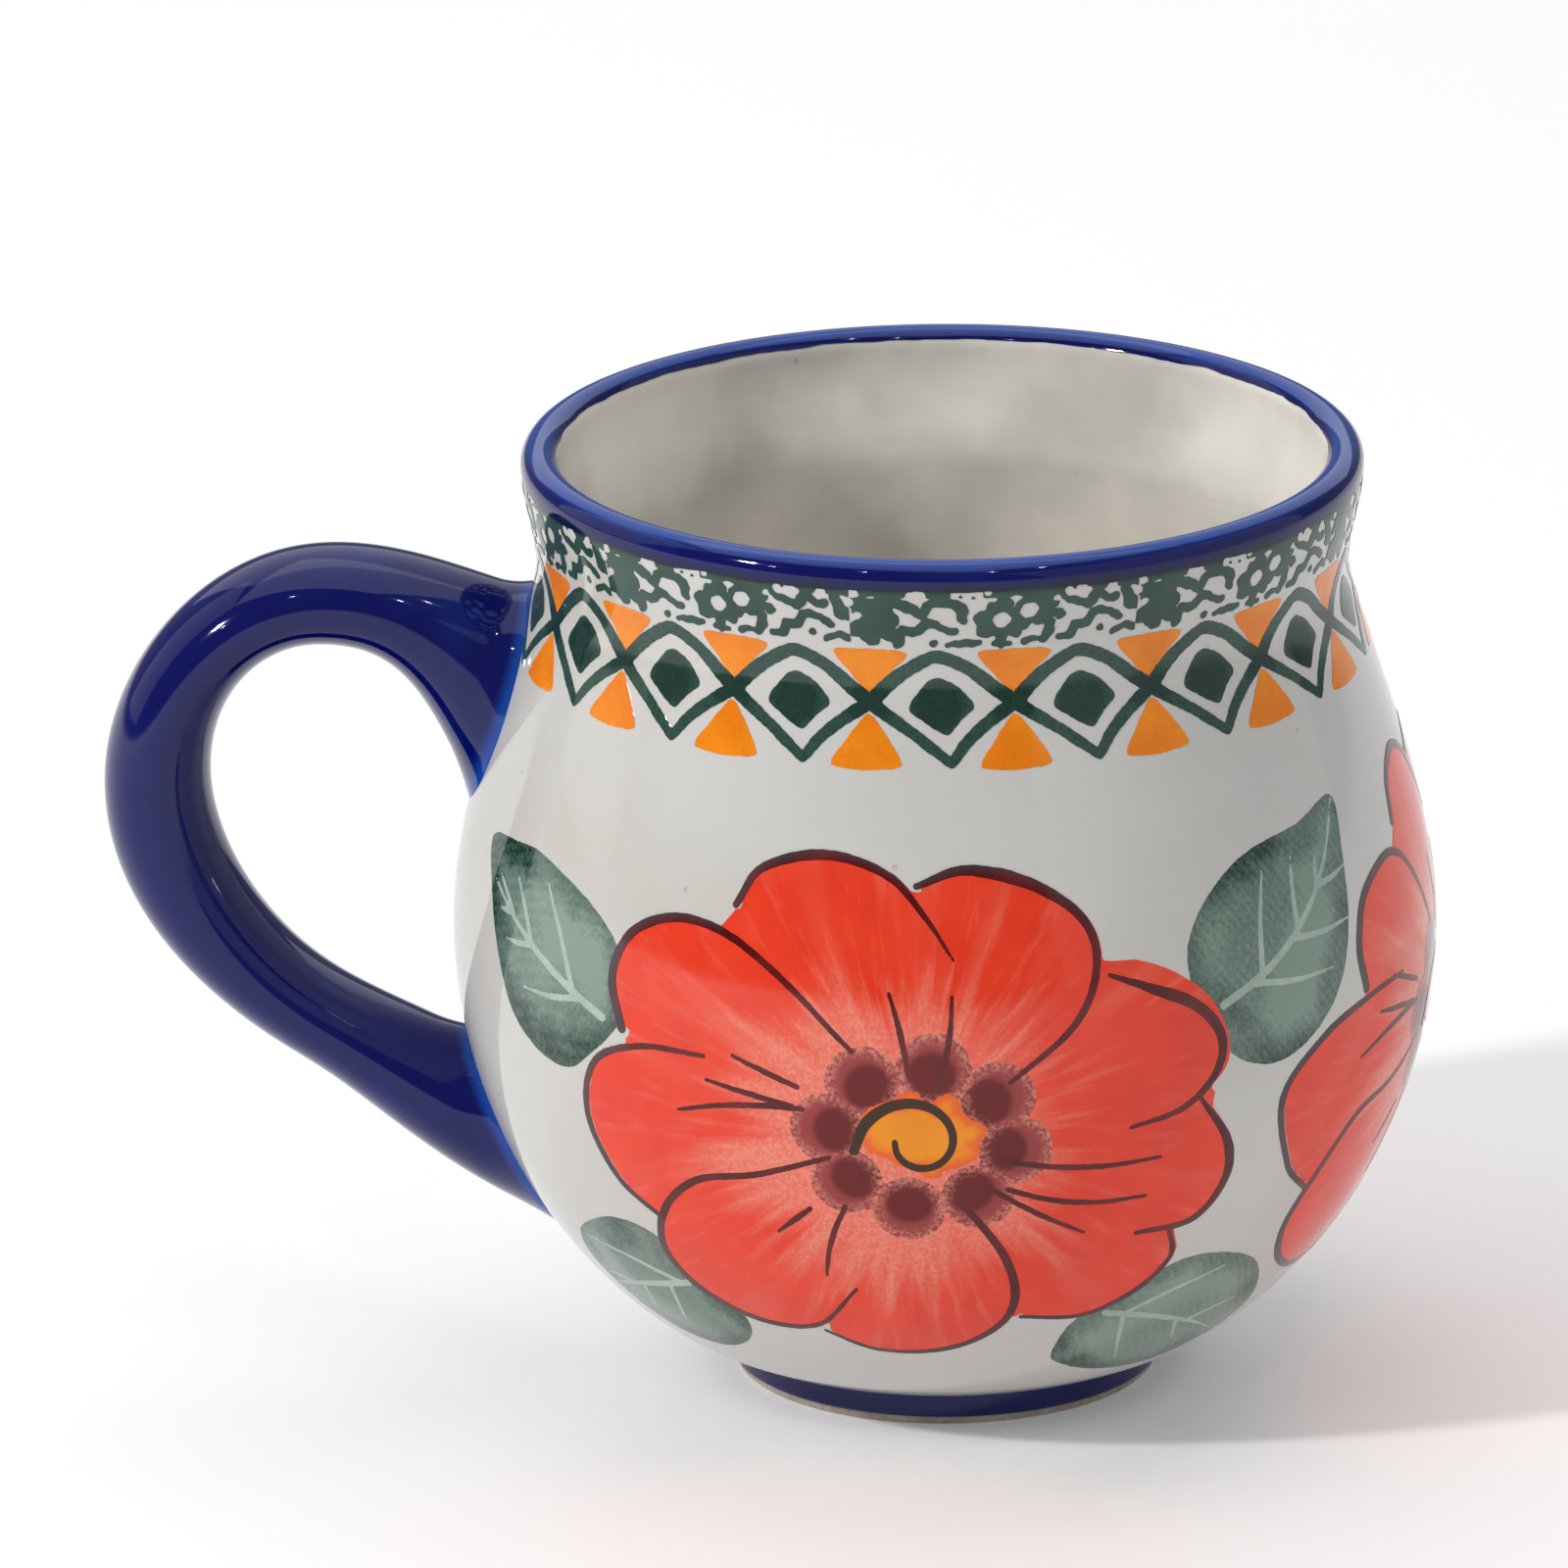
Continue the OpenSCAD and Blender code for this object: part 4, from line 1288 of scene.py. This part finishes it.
def petal_colour(colours):
    def colour(tree, grain, cloud):
        side, up, away = (mark(tree, name) for name in ("heart_x", "heart_y", "away"))
        way = add(tree, "ShaderNodeCombineXYZ", X=side, Y=up,
                  Z=maths(tree, "MULTIPLY", away, 0.007)).outputs[0]
        fine = add(tree, "ShaderNodeTexNoise", Vector=way, Scale=15.0, Detail=4.0,
                   Roughness=0.62).outputs[0]
        broad = add(tree, "ShaderNodeTexNoise", Vector=way, Scale=4.5, Detail=2.0).outputs[0]
        lean = maths(tree, "MULTIPLY_ADD", side, -2.5, maths(tree, "MULTIPLY", up, -2.5))
        reach = maths(tree, "MULTIPLY_ADD", fine, 12.0, maths(tree, "MULTIPLY", broad, 18.0))
        reach = maths(tree, "ADD", reach, lean)
        washed = ramp(tree, maths(tree, "SUBTRACT", away, reach), -5.0, 5.0, 1, 0)
        speckled = maths(tree, "MULTIPLY", washed, maths(tree, "MULTIPLY_ADD", grain, 0.45, 0.4))
        red = blend(tree, maths(tree, "MULTIPLY", cloud, 0.35), colours.petal, colours.petal_deep)
        brushed = maths(tree, "MULTIPLY", ramp(tree, fine, 0.5, 0.75), 0.2)
        brushed = maths(tree, "MULTIPLY_ADD", ramp(tree, broad, 0.48, 0.7), 0.12, brushed)
        red = blend(tree, brushed, red, colours.petal_pale)
        return blend(tree, maths(tree, "MULTIPLY", speckled, 0.85), red, colours.petal_pale)
    return colour


def line_colour(colours):
    def colour(tree, grain, cloud):
        base = blend(tree, mark(tree, "on_red"), colours.line_on_white, colours.line_on_red)
        return blend(tree, maths(tree, "MULTIPLY", cloud, 0.25), base, colours.bead)
    return colour


def bead_colour(colours):
    def colour(tree, grain, cloud):
        core = ramp(tree, mark(tree, "core"), -0.35, 0.55)
        rim = ramp(tree, mark(tree, "edge"), 0.0, 1.5, 1, 0)
        base = blend(tree, core, colours.bead, colours.bead_core)
        pale = maths(tree, "MULTIPLY", rim, maths(tree, "MULTIPLY", grain, 0.7))
        return blend(tree, pale, base, colours.petal_pale)
    return colour


def heart_colour(colours):
    def colour(tree, grain, cloud):
        gold = blend(tree, maths(tree, "MULTIPLY", cloud, 0.4), colours.heart, colours.orange_deep)
        edge = ramp(tree, mark(tree, "edge"), 0.1, 1.6, 0.7, 0)
        return blend(tree, edge, gold, colours.petal)
    return colour


def leaf_colour(colours):
    def colour(tree, grain, cloud):
        edge = ramp(tree, maths(tree, "SUBTRACT", mark(tree, "edge"),
                                maths(tree, "MULTIPLY", cloud, 2.4)), -0.6, 3.4, 1, 0)
        place = add(tree, "ShaderNodeTexCoord").outputs["Object"]
        broad = add(tree, "ShaderNodeTexNoise", Vector=place, Scale=75.0, Detail=1.0).outputs[0]
        weave = add(tree, "ShaderNodeTexWave", {"bands_direction": "DIAGONAL"}, Vector=place,
                    Scale=420.0, Distortion=3.0, Detail=1.0).outputs["Fac"]
        depth = maths(tree, "MULTIPLY_ADD", edge, 0.6,
                      maths(tree, "MULTIPLY", ramp(tree, broad, 0.42, 0.62), 0.42))
        depth = maths(tree, "MULTIPLY_ADD", grain, -0.26, maths(tree, "ADD", depth, 0.06))
        depth = maths(tree, "MULTIPLY_ADD", weave, -0.12, depth)
        depth = maths(tree, "MINIMUM", maths(tree, "MAXIMUM", depth, 0.0), 1.0)
        return blend(tree, depth, colours.leaf, colours.leaf_deep)
    return colour


def mottled_colour(light, deep, share=0.6):
    def colour(tree, grain, cloud):
        mixed = maths(tree, "MULTIPLY_ADD", grain, 0.25, maths(tree, "MULTIPLY", cloud, share))
        return blend(tree, mixed, light, deep)
    return colour


def green_colour(colours):
    def colour(tree, grain, cloud):
        base = blend(tree, maths(tree, "MULTIPLY", grain, 0.45), colours.green, colours.green_deep)
        return blend(tree, ramp(tree, mark(tree, "overlap"), -0.6, 0.6, 0, 0.6), base,
                     colours.green_deep)
    return colour


def stamp_colour(colours):
    def colour(tree, grain, cloud):
        base = blend(tree, maths(tree, "MULTIPLY", cloud, 0.4), colours.green, colours.green_deep)
        return blend(tree, ramp(tree, mark(tree, "height"), 5.2, 6.0), base, colours.cobalt_black)
    return colour


def clay_material(name, colours):
    """Bare stoneware: matt, gritty, with iron specks."""
    material, tree, shader = new_material(name)
    grain = add(tree, "ShaderNodeGroup", {"node_tree": shared("pigment grain",
                                                              pigment_grain_group)},
                Grain_Size=0.0005, Cloud_Size=0.006)
    mixed = maths(tree, "MULTIPLY_ADD", grain.outputs["Grain"], 0.3,
                  maths(tree, "MULTIPLY", grain.outputs["Cloud"], 0.35))
    tree.links.new(blend(tree, mixed, colours.clay, colours.clay_dark), shader.inputs["Base Color"])
    bump = add(tree, "ShaderNodeBump", Height=grain.outputs["Grain"], Strength=0.4,
               Distance=0.0002)
    tree.links.new(bump.outputs[0], shader.inputs["Normal"])
    shader.inputs["Roughness"].default_value = 0.85
    return material


def height_above_table(tree):
    """The height of each point on a piece."""
    place = add(tree, "ShaderNodeTexCoord").outputs["Object"]
    return add(tree, "ShaderNodeSeparateXYZ", Vector=place).outputs["Z"]


def seam_mask(tree):
    """The blue glaze runs thin on the last millimetre before the white wall."""
    return ramp(tree, mark(tree, "gap"), 0.1, 1.5, 0.75, 0)


def rim_mask(tree):
    """The blue glaze runs thin over the very top of the lip."""
    height = height_above_table(tree)
    top = bpy.context.scene.mug_shape.height
    return ramp(tree, height, top - 0.7 * MM, top - 0.1 * MM, 0.0, 0.6)


def rim_colour(colours):
    """The rim's blue, nearly black along its lower edge, where it covers the stamp."""
    def colour(tree, grain, cloud):
        blue = cobalt_colour(colours, rim_mask)(tree, grain, cloud)
        place = add(tree, "ShaderNodeTexCoord").outputs["Object"]
        height = add(tree, "ShaderNodeSeparateXYZ", Vector=place).outputs["Z"]
        top = bpy.context.scene.mug_shape.height
        edge = maths(tree, "MULTIPLY_ADD", cloud, 0.6 * MM, top - 2.9 * MM)
        low = maths(tree, "SUBTRACT", height, edge)
        return blend(tree, ramp(tree, low, 0.0, 1.2 * MM, 0.85, 0.0), blue, colours.cobalt_black)
    return colour


def foot_mask(tree):
    """The blue glaze runs thin where the foot meets the belly."""
    height = height_above_table(tree)
    top = bpy.context.scene.mug_shape.foot_height
    return ramp(tree, height, top - 0.5 * MM, top + 0.2 * MM, 0.0, 0.8)


FINISH_NAMES = {
    "white": "glossy_white", "liner": "glossy_liner_with_painted_light", "handle": "cobalt_handle",
    "rim": "cobalt_rim", "foot": "cobalt_foot", "petal": "petal_red", "line": "drawing_line",
    "bead": "bead_red", "heart": "heart_yellow", "spiral": "spiral_brown", "leaf": "leaf_green",
    "vein": "vein_pale", "orange": "triangle_orange", "green": "chain_green",
    "stamp": "stamp_green", "clay": "bare_stoneware", "slip": "dry_slip",
}


def make_materials(colours):
    """Every finish on the mug, by its plain name."""
    looks = {
        "white": white_colour(colours.white, colours.white_shade, colours),
        # The liner's white carries painted light: it is lighter and warmer than the outside white.
        "liner": white_colour(colours.liner, colours.white_shade, colours),
        "handle": cobalt_colour(colours, seam_mask),
        "rim": rim_colour(colours),
        "foot": cobalt_colour(colours, foot_mask),
        "petal": petal_colour(colours),
        "line": line_colour(colours),
        "bead": bead_colour(colours),
        "heart": heart_colour(colours),
        "spiral": mottled_colour(colours.spiral, colours.line_on_red, 0.2),
        "leaf": leaf_colour(colours),
        "vein": mottled_colour(colours.vein, colours.leaf, 0.35),
        "orange": mottled_colour(colours.orange, colours.orange_deep),
        "green": green_colour(colours),
        "stamp": stamp_colour(colours),
    }
    made = {key: glazed(FINISH_NAMES[key], look) for key, look in looks.items()}
    for key in ("clay", "slip"):
        made[key] = clay_material(FINISH_NAMES[key], colours)
    return made


def finishes():
    """The materials, made once."""
    if FINISH_NAMES["white"] not in bpy.data.materials:
        return make_materials(bpy.context.scene.mug_colours)
    return {key: bpy.data.materials[name] for key, name in FINISH_NAMES.items()}


# ---------------------------------------------------------------- turned pieces

def make_wall(outline):
    """The white coat outside, which carries the painting."""
    paint = bpy.context.scene.mug_paint
    end = outline.at["belly"] + paint.rim_edge + 1 * MM
    material = finishes()["white"]
    piece = coat_piece("painted_wall", outline, 0, end, material)
    finish_piece(piece, material, "painted_glaze", "outer_glaze")


def make_liner(outline):
    """The white coat inside, down to the middle of the floor."""
    start = outline.at["lip_inside"] - 1.4 * MM
    # Its white is painted lighter and warmer than the outside white, as painted light inside the mug.
    material = finishes()["liner"]
    piece = coat_piece("white_liner", outline, start, outline.at["middle"], material)
    finish_piece(piece, material, "white_glaze", "liner_glaze")


def make_rim(outline):
    """The cobalt band over the lip, with an uneven edge on both sides."""
    paint = bpy.context.scene.mug_paint
    start = outline.at["belly"] + paint.rim_edge
    end = outline.at["lip_inside"] - 0.8 * MM
    material = finishes()["rim"]
    piece = coat_piece("rim_band", outline, start, end, material, lift=0.08 * MM,
                       wobble=paint.rim_wobble, waves=7.0, seed=3, uneven=("start", "end"))
    finish_piece(piece, material, "cobalt_glaze", "rim_glaze")


def make_foot(outline):
    """The bare foot ring and the cobalt band on its side."""
    shape = bpy.context.scene.mug_shape
    paint = bpy.context.scene.mug_paint
    materials = finishes()
    inner = shape.foot_radius - shape.foot_width
    outer = shape.foot_radius - shape.glaze
    top = shape.foot_height
    soft = 0.6 * MM
    quarter = np.linspace(0, math.pi / 2, 7)
    low_out = [(outer - soft + soft * math.sin(a), soft - soft * math.cos(a)) for a in quarter]
    low_in = [(inner + soft - soft * math.cos(a), soft - soft * math.sin(a)) for a in quarter]
    ring = np.array(low_out + [(outer, top), (inner, top)] + low_in)
    ring_piece = turned_piece("bare_foot_ring", ring, np.linspace(0, 0.97, len(ring)),
                              np.zeros((len(ring), 2)), materials["clay"])
    finish_piece(ring_piece, materials["clay"], "stoneware", "foot_ring")

    up = outline.stretch(0, 0.7 * MM)
    face_up = outline.place(up) + 0.06 * MM * outline.facing(up)
    radius = shape.foot_radius
    low = shape.bare_height
    band = np.vstack((
        [(outer, low), (radius - 0.2 * MM, low), (radius - 0.06 * MM, low + 0.1 * MM),
         (radius, low + 0.35 * MM), (radius, top - 0.5 * MM), (radius, top - 0.1 * MM)],
        face_up,
        [(radius + 0.4 * MM, top + 0.1 * MM), (outer, top - 0.02 * MM)],
    ))
    sway = np.zeros(band.shape)
    sway[6:6 + len(up), 0] = np.linspace(0, 1, len(up))
    band_piece = turned_piece("foot_band", band, np.linspace(0, 0.97, len(band)), sway,
                              materials["foot"], wobble=paint.foot_wobble, waves=5.0, seed=8)
    finish_piece(band_piece, materials["foot"], "cobalt_glaze", "foot_glaze")


def make_clay():
    """Finishes for the CAD pieces that stay: the clay under the glaze, the slip and the base."""
    materials = finishes()
    for node, finish in (("clay_body", "clay"), ("handle_core", "clay"),
                         ("upper_slip_joint", "slip"), ("lower_slip_joint", "slip"),
                         ("base_glaze", "white")):
        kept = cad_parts[node].data.materials
        kept.clear()
        kept.append(materials[finish])


# ---------------------------------------------------------------- stage

# Azimuth and elevation in degrees, distance and size in metres, power in watts, colour.
STUDIO_LIGHTS = (
    ("back_panel", 180, 44, 1.8, 2.6, 1.9, 12, (1, 1, 1)),
    ("top_panel", -120, 84, 1.6, 1.8, 1.8, 9.5, (1, 1, 1)),
    ("right_panel", 70, 20, 1.4, 2.6, 1.6, 4.3, (1, 1, 1)),
    ("left_panel", -105, 26, 1.4, 1.0, 1.2, 2, (1, 1, 1)),
    ("key_lamp", -57, 33, 1.9, 0.12, 0.12, 17, (1, 0.99, 0.97)),
)
SPARKLES = ((-24, 46), (18, 52), (40, 60), (-48, 30))
SPARKLE_DISTANCE = 1.5
SPARKLE_WIDTH = 0.022
SPARKLE_POWER = 0.3


def panel_light(name, azimuth, elevation, distance, width, height, power, colour=(1, 1, 1)):
    """A soft rectangular light that faces the mug. Azimuth counts from the camera to the right."""
    lamp = bpy.data.lights.new(name, "AREA")
    lamp.shape = "RECTANGLE"
    lamp.size = width
    lamp.size_y = height
    lamp.energy = power
    lamp.color = colour
    thing = bpy.data.objects.new(name, lamp)
    bpy.context.collection.objects.link(thing)
    flat = distance * math.cos(elevation)
    place = Vector((flat * math.sin(azimuth), -flat * math.cos(azimuth),
                    distance * math.sin(elevation) + 0.05))
    aim = Vector((0, 0, 0.05)) - place
    thing.matrix_world = Matrix.Translation(place) @ aim.to_track_quat("-Z", "Y").to_matrix().to_4x4()
    return thing


def make_stage():
    """A pale floor, soft studio light, and the camera."""
    stage = bpy.context.scene.mug_stage
    half = stage.floor / 2
    mesh = bpy.data.meshes.new("floor")
    mesh.from_pydata([(-half, -half, 0), (half, -half, 0), (half, half, 0), (-half, half, 0)],
                     [], [(0, 1, 2, 3)])
    floor = bpy.data.objects.new("floor", mesh)
    bpy.context.collection.objects.link(floor)
    material, _, shader = new_material("pale_floor")
    shader.inputs["Base Color"].default_value = (0.94, 0.94, 0.94, 1)
    shader.inputs["Emission Color"].default_value = (1, 1, 1, 1)
    shader.inputs["Emission Strength"].default_value = 0.1
    shader.inputs["Roughness"].default_value = 0.9
    shader.inputs["Specular IOR Level"].default_value = 0.1
    mesh.materials.append(material)

    world = bpy.data.worlds.new("studio")
    world.use_nodes = True
    world.node_tree.nodes["Background"].inputs["Color"].default_value = (0.95, 0.97, 1.0, 1)
    world.node_tree.nodes["Background"].inputs["Strength"].default_value = 0.2
    bpy.context.scene.world = world
    for name, azimuth, elevation, distance, width, height, power, colour in STUDIO_LIGHTS:
        panel_light(name, math.radians(azimuth), math.radians(elevation), distance, width, height,
                    power, colour)
    for number, (azimuth, elevation) in enumerate(SPARKLES):
        spark = panel_light(f"sparkle_{number}", math.radians(azimuth), math.radians(elevation),
                            SPARKLE_DISTANCE, SPARKLE_WIDTH, SPARKLE_WIDTH, SPARKLE_POWER)
        spark.data.shape = "DISK"

    camera = bpy.data.objects.new("camera", bpy.data.cameras.new("camera"))
    camera.data.lens = stage.lens
    camera.data.sensor_width = 36
    camera.data.clip_end = 50
    bpy.context.collection.objects.link(camera)
    place = (stage.aim_side, -stage.distance * math.cos(stage.elevation),
             stage.aim_height + stage.distance * math.sin(stage.elevation))
    camera.matrix_world = (
        Matrix.Rotation(stage.turn, 4, "Z") @ Matrix.Translation(place)
        @ Matrix.Rotation(math.pi / 2 - stage.elevation, 4, "X")
        @ Matrix.Rotation(stage.roll, 4, "Z"))
    scene = bpy.context.scene
    scene.camera = camera
    scene.view_settings.view_transform = "Standard"


# ---------------------------------------------------------------- operators and panel

def mug_outline():
    """The mug's outline at its present sizes."""
    return Outline(bpy.context.scene.mug_shape)


class MUG_OT_clay(bpy.types.Operator):
    """Finish the clay, the slip and the base"""
    bl_idname = "mug.clay"
    bl_label = "Clay"
    bl_options = {"REGISTER", "UNDO"}

    def execute(self, context):
        make_clay()
        return {"FINISHED"}


class MUG_OT_wall(bpy.types.Operator):
    """Make the white coat on the outside"""
    bl_idname = "mug.wall"
    bl_label = "Painted wall"
    bl_options = {"REGISTER", "UNDO"}

    def execute(self, context):
        make_wall(mug_outline())
        return {"FINISHED"}


class MUG_OT_liner(bpy.types.Operator):
    """Make the white coat on the inside"""
    bl_idname = "mug.liner"
    bl_label = "Liner"
    bl_options = {"REGISTER", "UNDO"}

    def execute(self, context):
        make_liner(mug_outline())
        return {"FINISHED"}


class MUG_OT_rim(bpy.types.Operator):
    """Make the cobalt band over the lip"""
    bl_idname = "mug.rim"
    bl_label = "Rim band"
    bl_options = {"REGISTER", "UNDO"}

    def execute(self, context):
        make_rim(mug_outline())
        return {"FINISHED"}


class MUG_OT_foot(bpy.types.Operator):
    """Make the foot ring and its cobalt band"""
    bl_idname = "mug.foot"
    bl_label = "Foot"
    bl_options = {"REGISTER", "UNDO"}

    def execute(self, context):
        make_foot(mug_outline())
        return {"FINISHED"}


class MUG_OT_handle(bpy.types.Operator):
    """Make the cobalt handle"""
    bl_idname = "mug.handle"
    bl_label = "Handle"
    bl_options = {"REGISTER", "UNDO"}

    def execute(self, context):
        make_handle(mug_outline(), finishes()["handle"])
        return {"FINISHED"}


class MUG_OT_leaves(bpy.types.Operator):
    """Paint the leaves and their veins"""
    bl_idname = "mug.leaves"
    bl_label = "Leaves"
    bl_options = {"REGISTER", "UNDO"}

    def execute(self, context):
        paint_leaves(mug_outline(), finishes())
        return {"FINISHED"}


class MUG_OT_flowers(bpy.types.Operator):
    """Paint the three flowers"""
    bl_idname = "mug.flowers"
    bl_label = "Flowers"
    bl_options = {"REGISTER", "UNDO"}

    def execute(self, context):
        paint_flowers(mug_outline(), finishes())
        return {"FINISHED"}


class MUG_OT_chain(bpy.types.Operator):
    """Paint the chain of diamonds and triangles"""
    bl_idname = "mug.chain"
    bl_label = "Diamond chain"
    bl_options = {"REGISTER", "UNDO"}

    def execute(self, context):
        paint_chain(mug_outline(), finishes())
        return {"FINISHED"}


class MUG_OT_collar(bpy.types.Operator):
    """Stamp the collar below the rim"""
    bl_idname = "mug.collar"
    bl_label = "Stamped collar"
    bl_options = {"REGISTER", "UNDO"}

    def execute(self, context):
        paint_collar(mug_outline(), finishes())
        return {"FINISHED"}


class MUG_OT_stage(bpy.types.Operator):
    """Set the floor, the lights and the camera"""
    bl_idname = "mug.stage"
    bl_label = "Stage"
    bl_options = {"REGISTER", "UNDO"}

    def execute(self, context):
        make_stage()
        return {"FINISHED"}


OPERATORS = (MUG_OT_clay, MUG_OT_wall, MUG_OT_liner, MUG_OT_rim, MUG_OT_foot, MUG_OT_handle,
             MUG_OT_leaves, MUG_OT_flowers, MUG_OT_chain, MUG_OT_collar, MUG_OT_stage)
GROUPS = {"mug_shape": MugShape, "mug_handle": HandleShape, "mug_paint": PaintSizes,
          "mug_colours": MugColours, "mug_stage": StageSizes}


class MUG_PT_sidebar(bpy.types.Panel):
    """Lists the mug's pieces, in the order in which they are made"""
    bl_label = "Painted belly mug"
    bl_idname = "MUG_PT_sidebar"
    bl_space_type = "VIEW_3D"
    bl_region_type = "UI"
    bl_category = "Mug"

    def draw(self, context):
        for operator in OPERATORS:
            self.layout.operator(operator.bl_idname)


def register():
    for group in (*GROUPS.values(), *OPERATORS, MUG_PT_sidebar):
        bpy.utils.register_class(group)
    for name, group in GROUPS.items():
        setattr(bpy.types.Scene, name, PointerProperty(type=group))


def unregister():
    for name in GROUPS:
        delattr(bpy.types.Scene, name)
    for group in (MUG_PT_sidebar, *reversed(OPERATORS), *reversed(GROUPS.values())):
        bpy.utils.unregister_class(group)


def main():
    register()
    for operator in OPERATORS:
        group, name = operator.bl_idname.split(".")
        getattr(getattr(bpy.ops, group), name)()


if __name__ == "__main__":
    main()
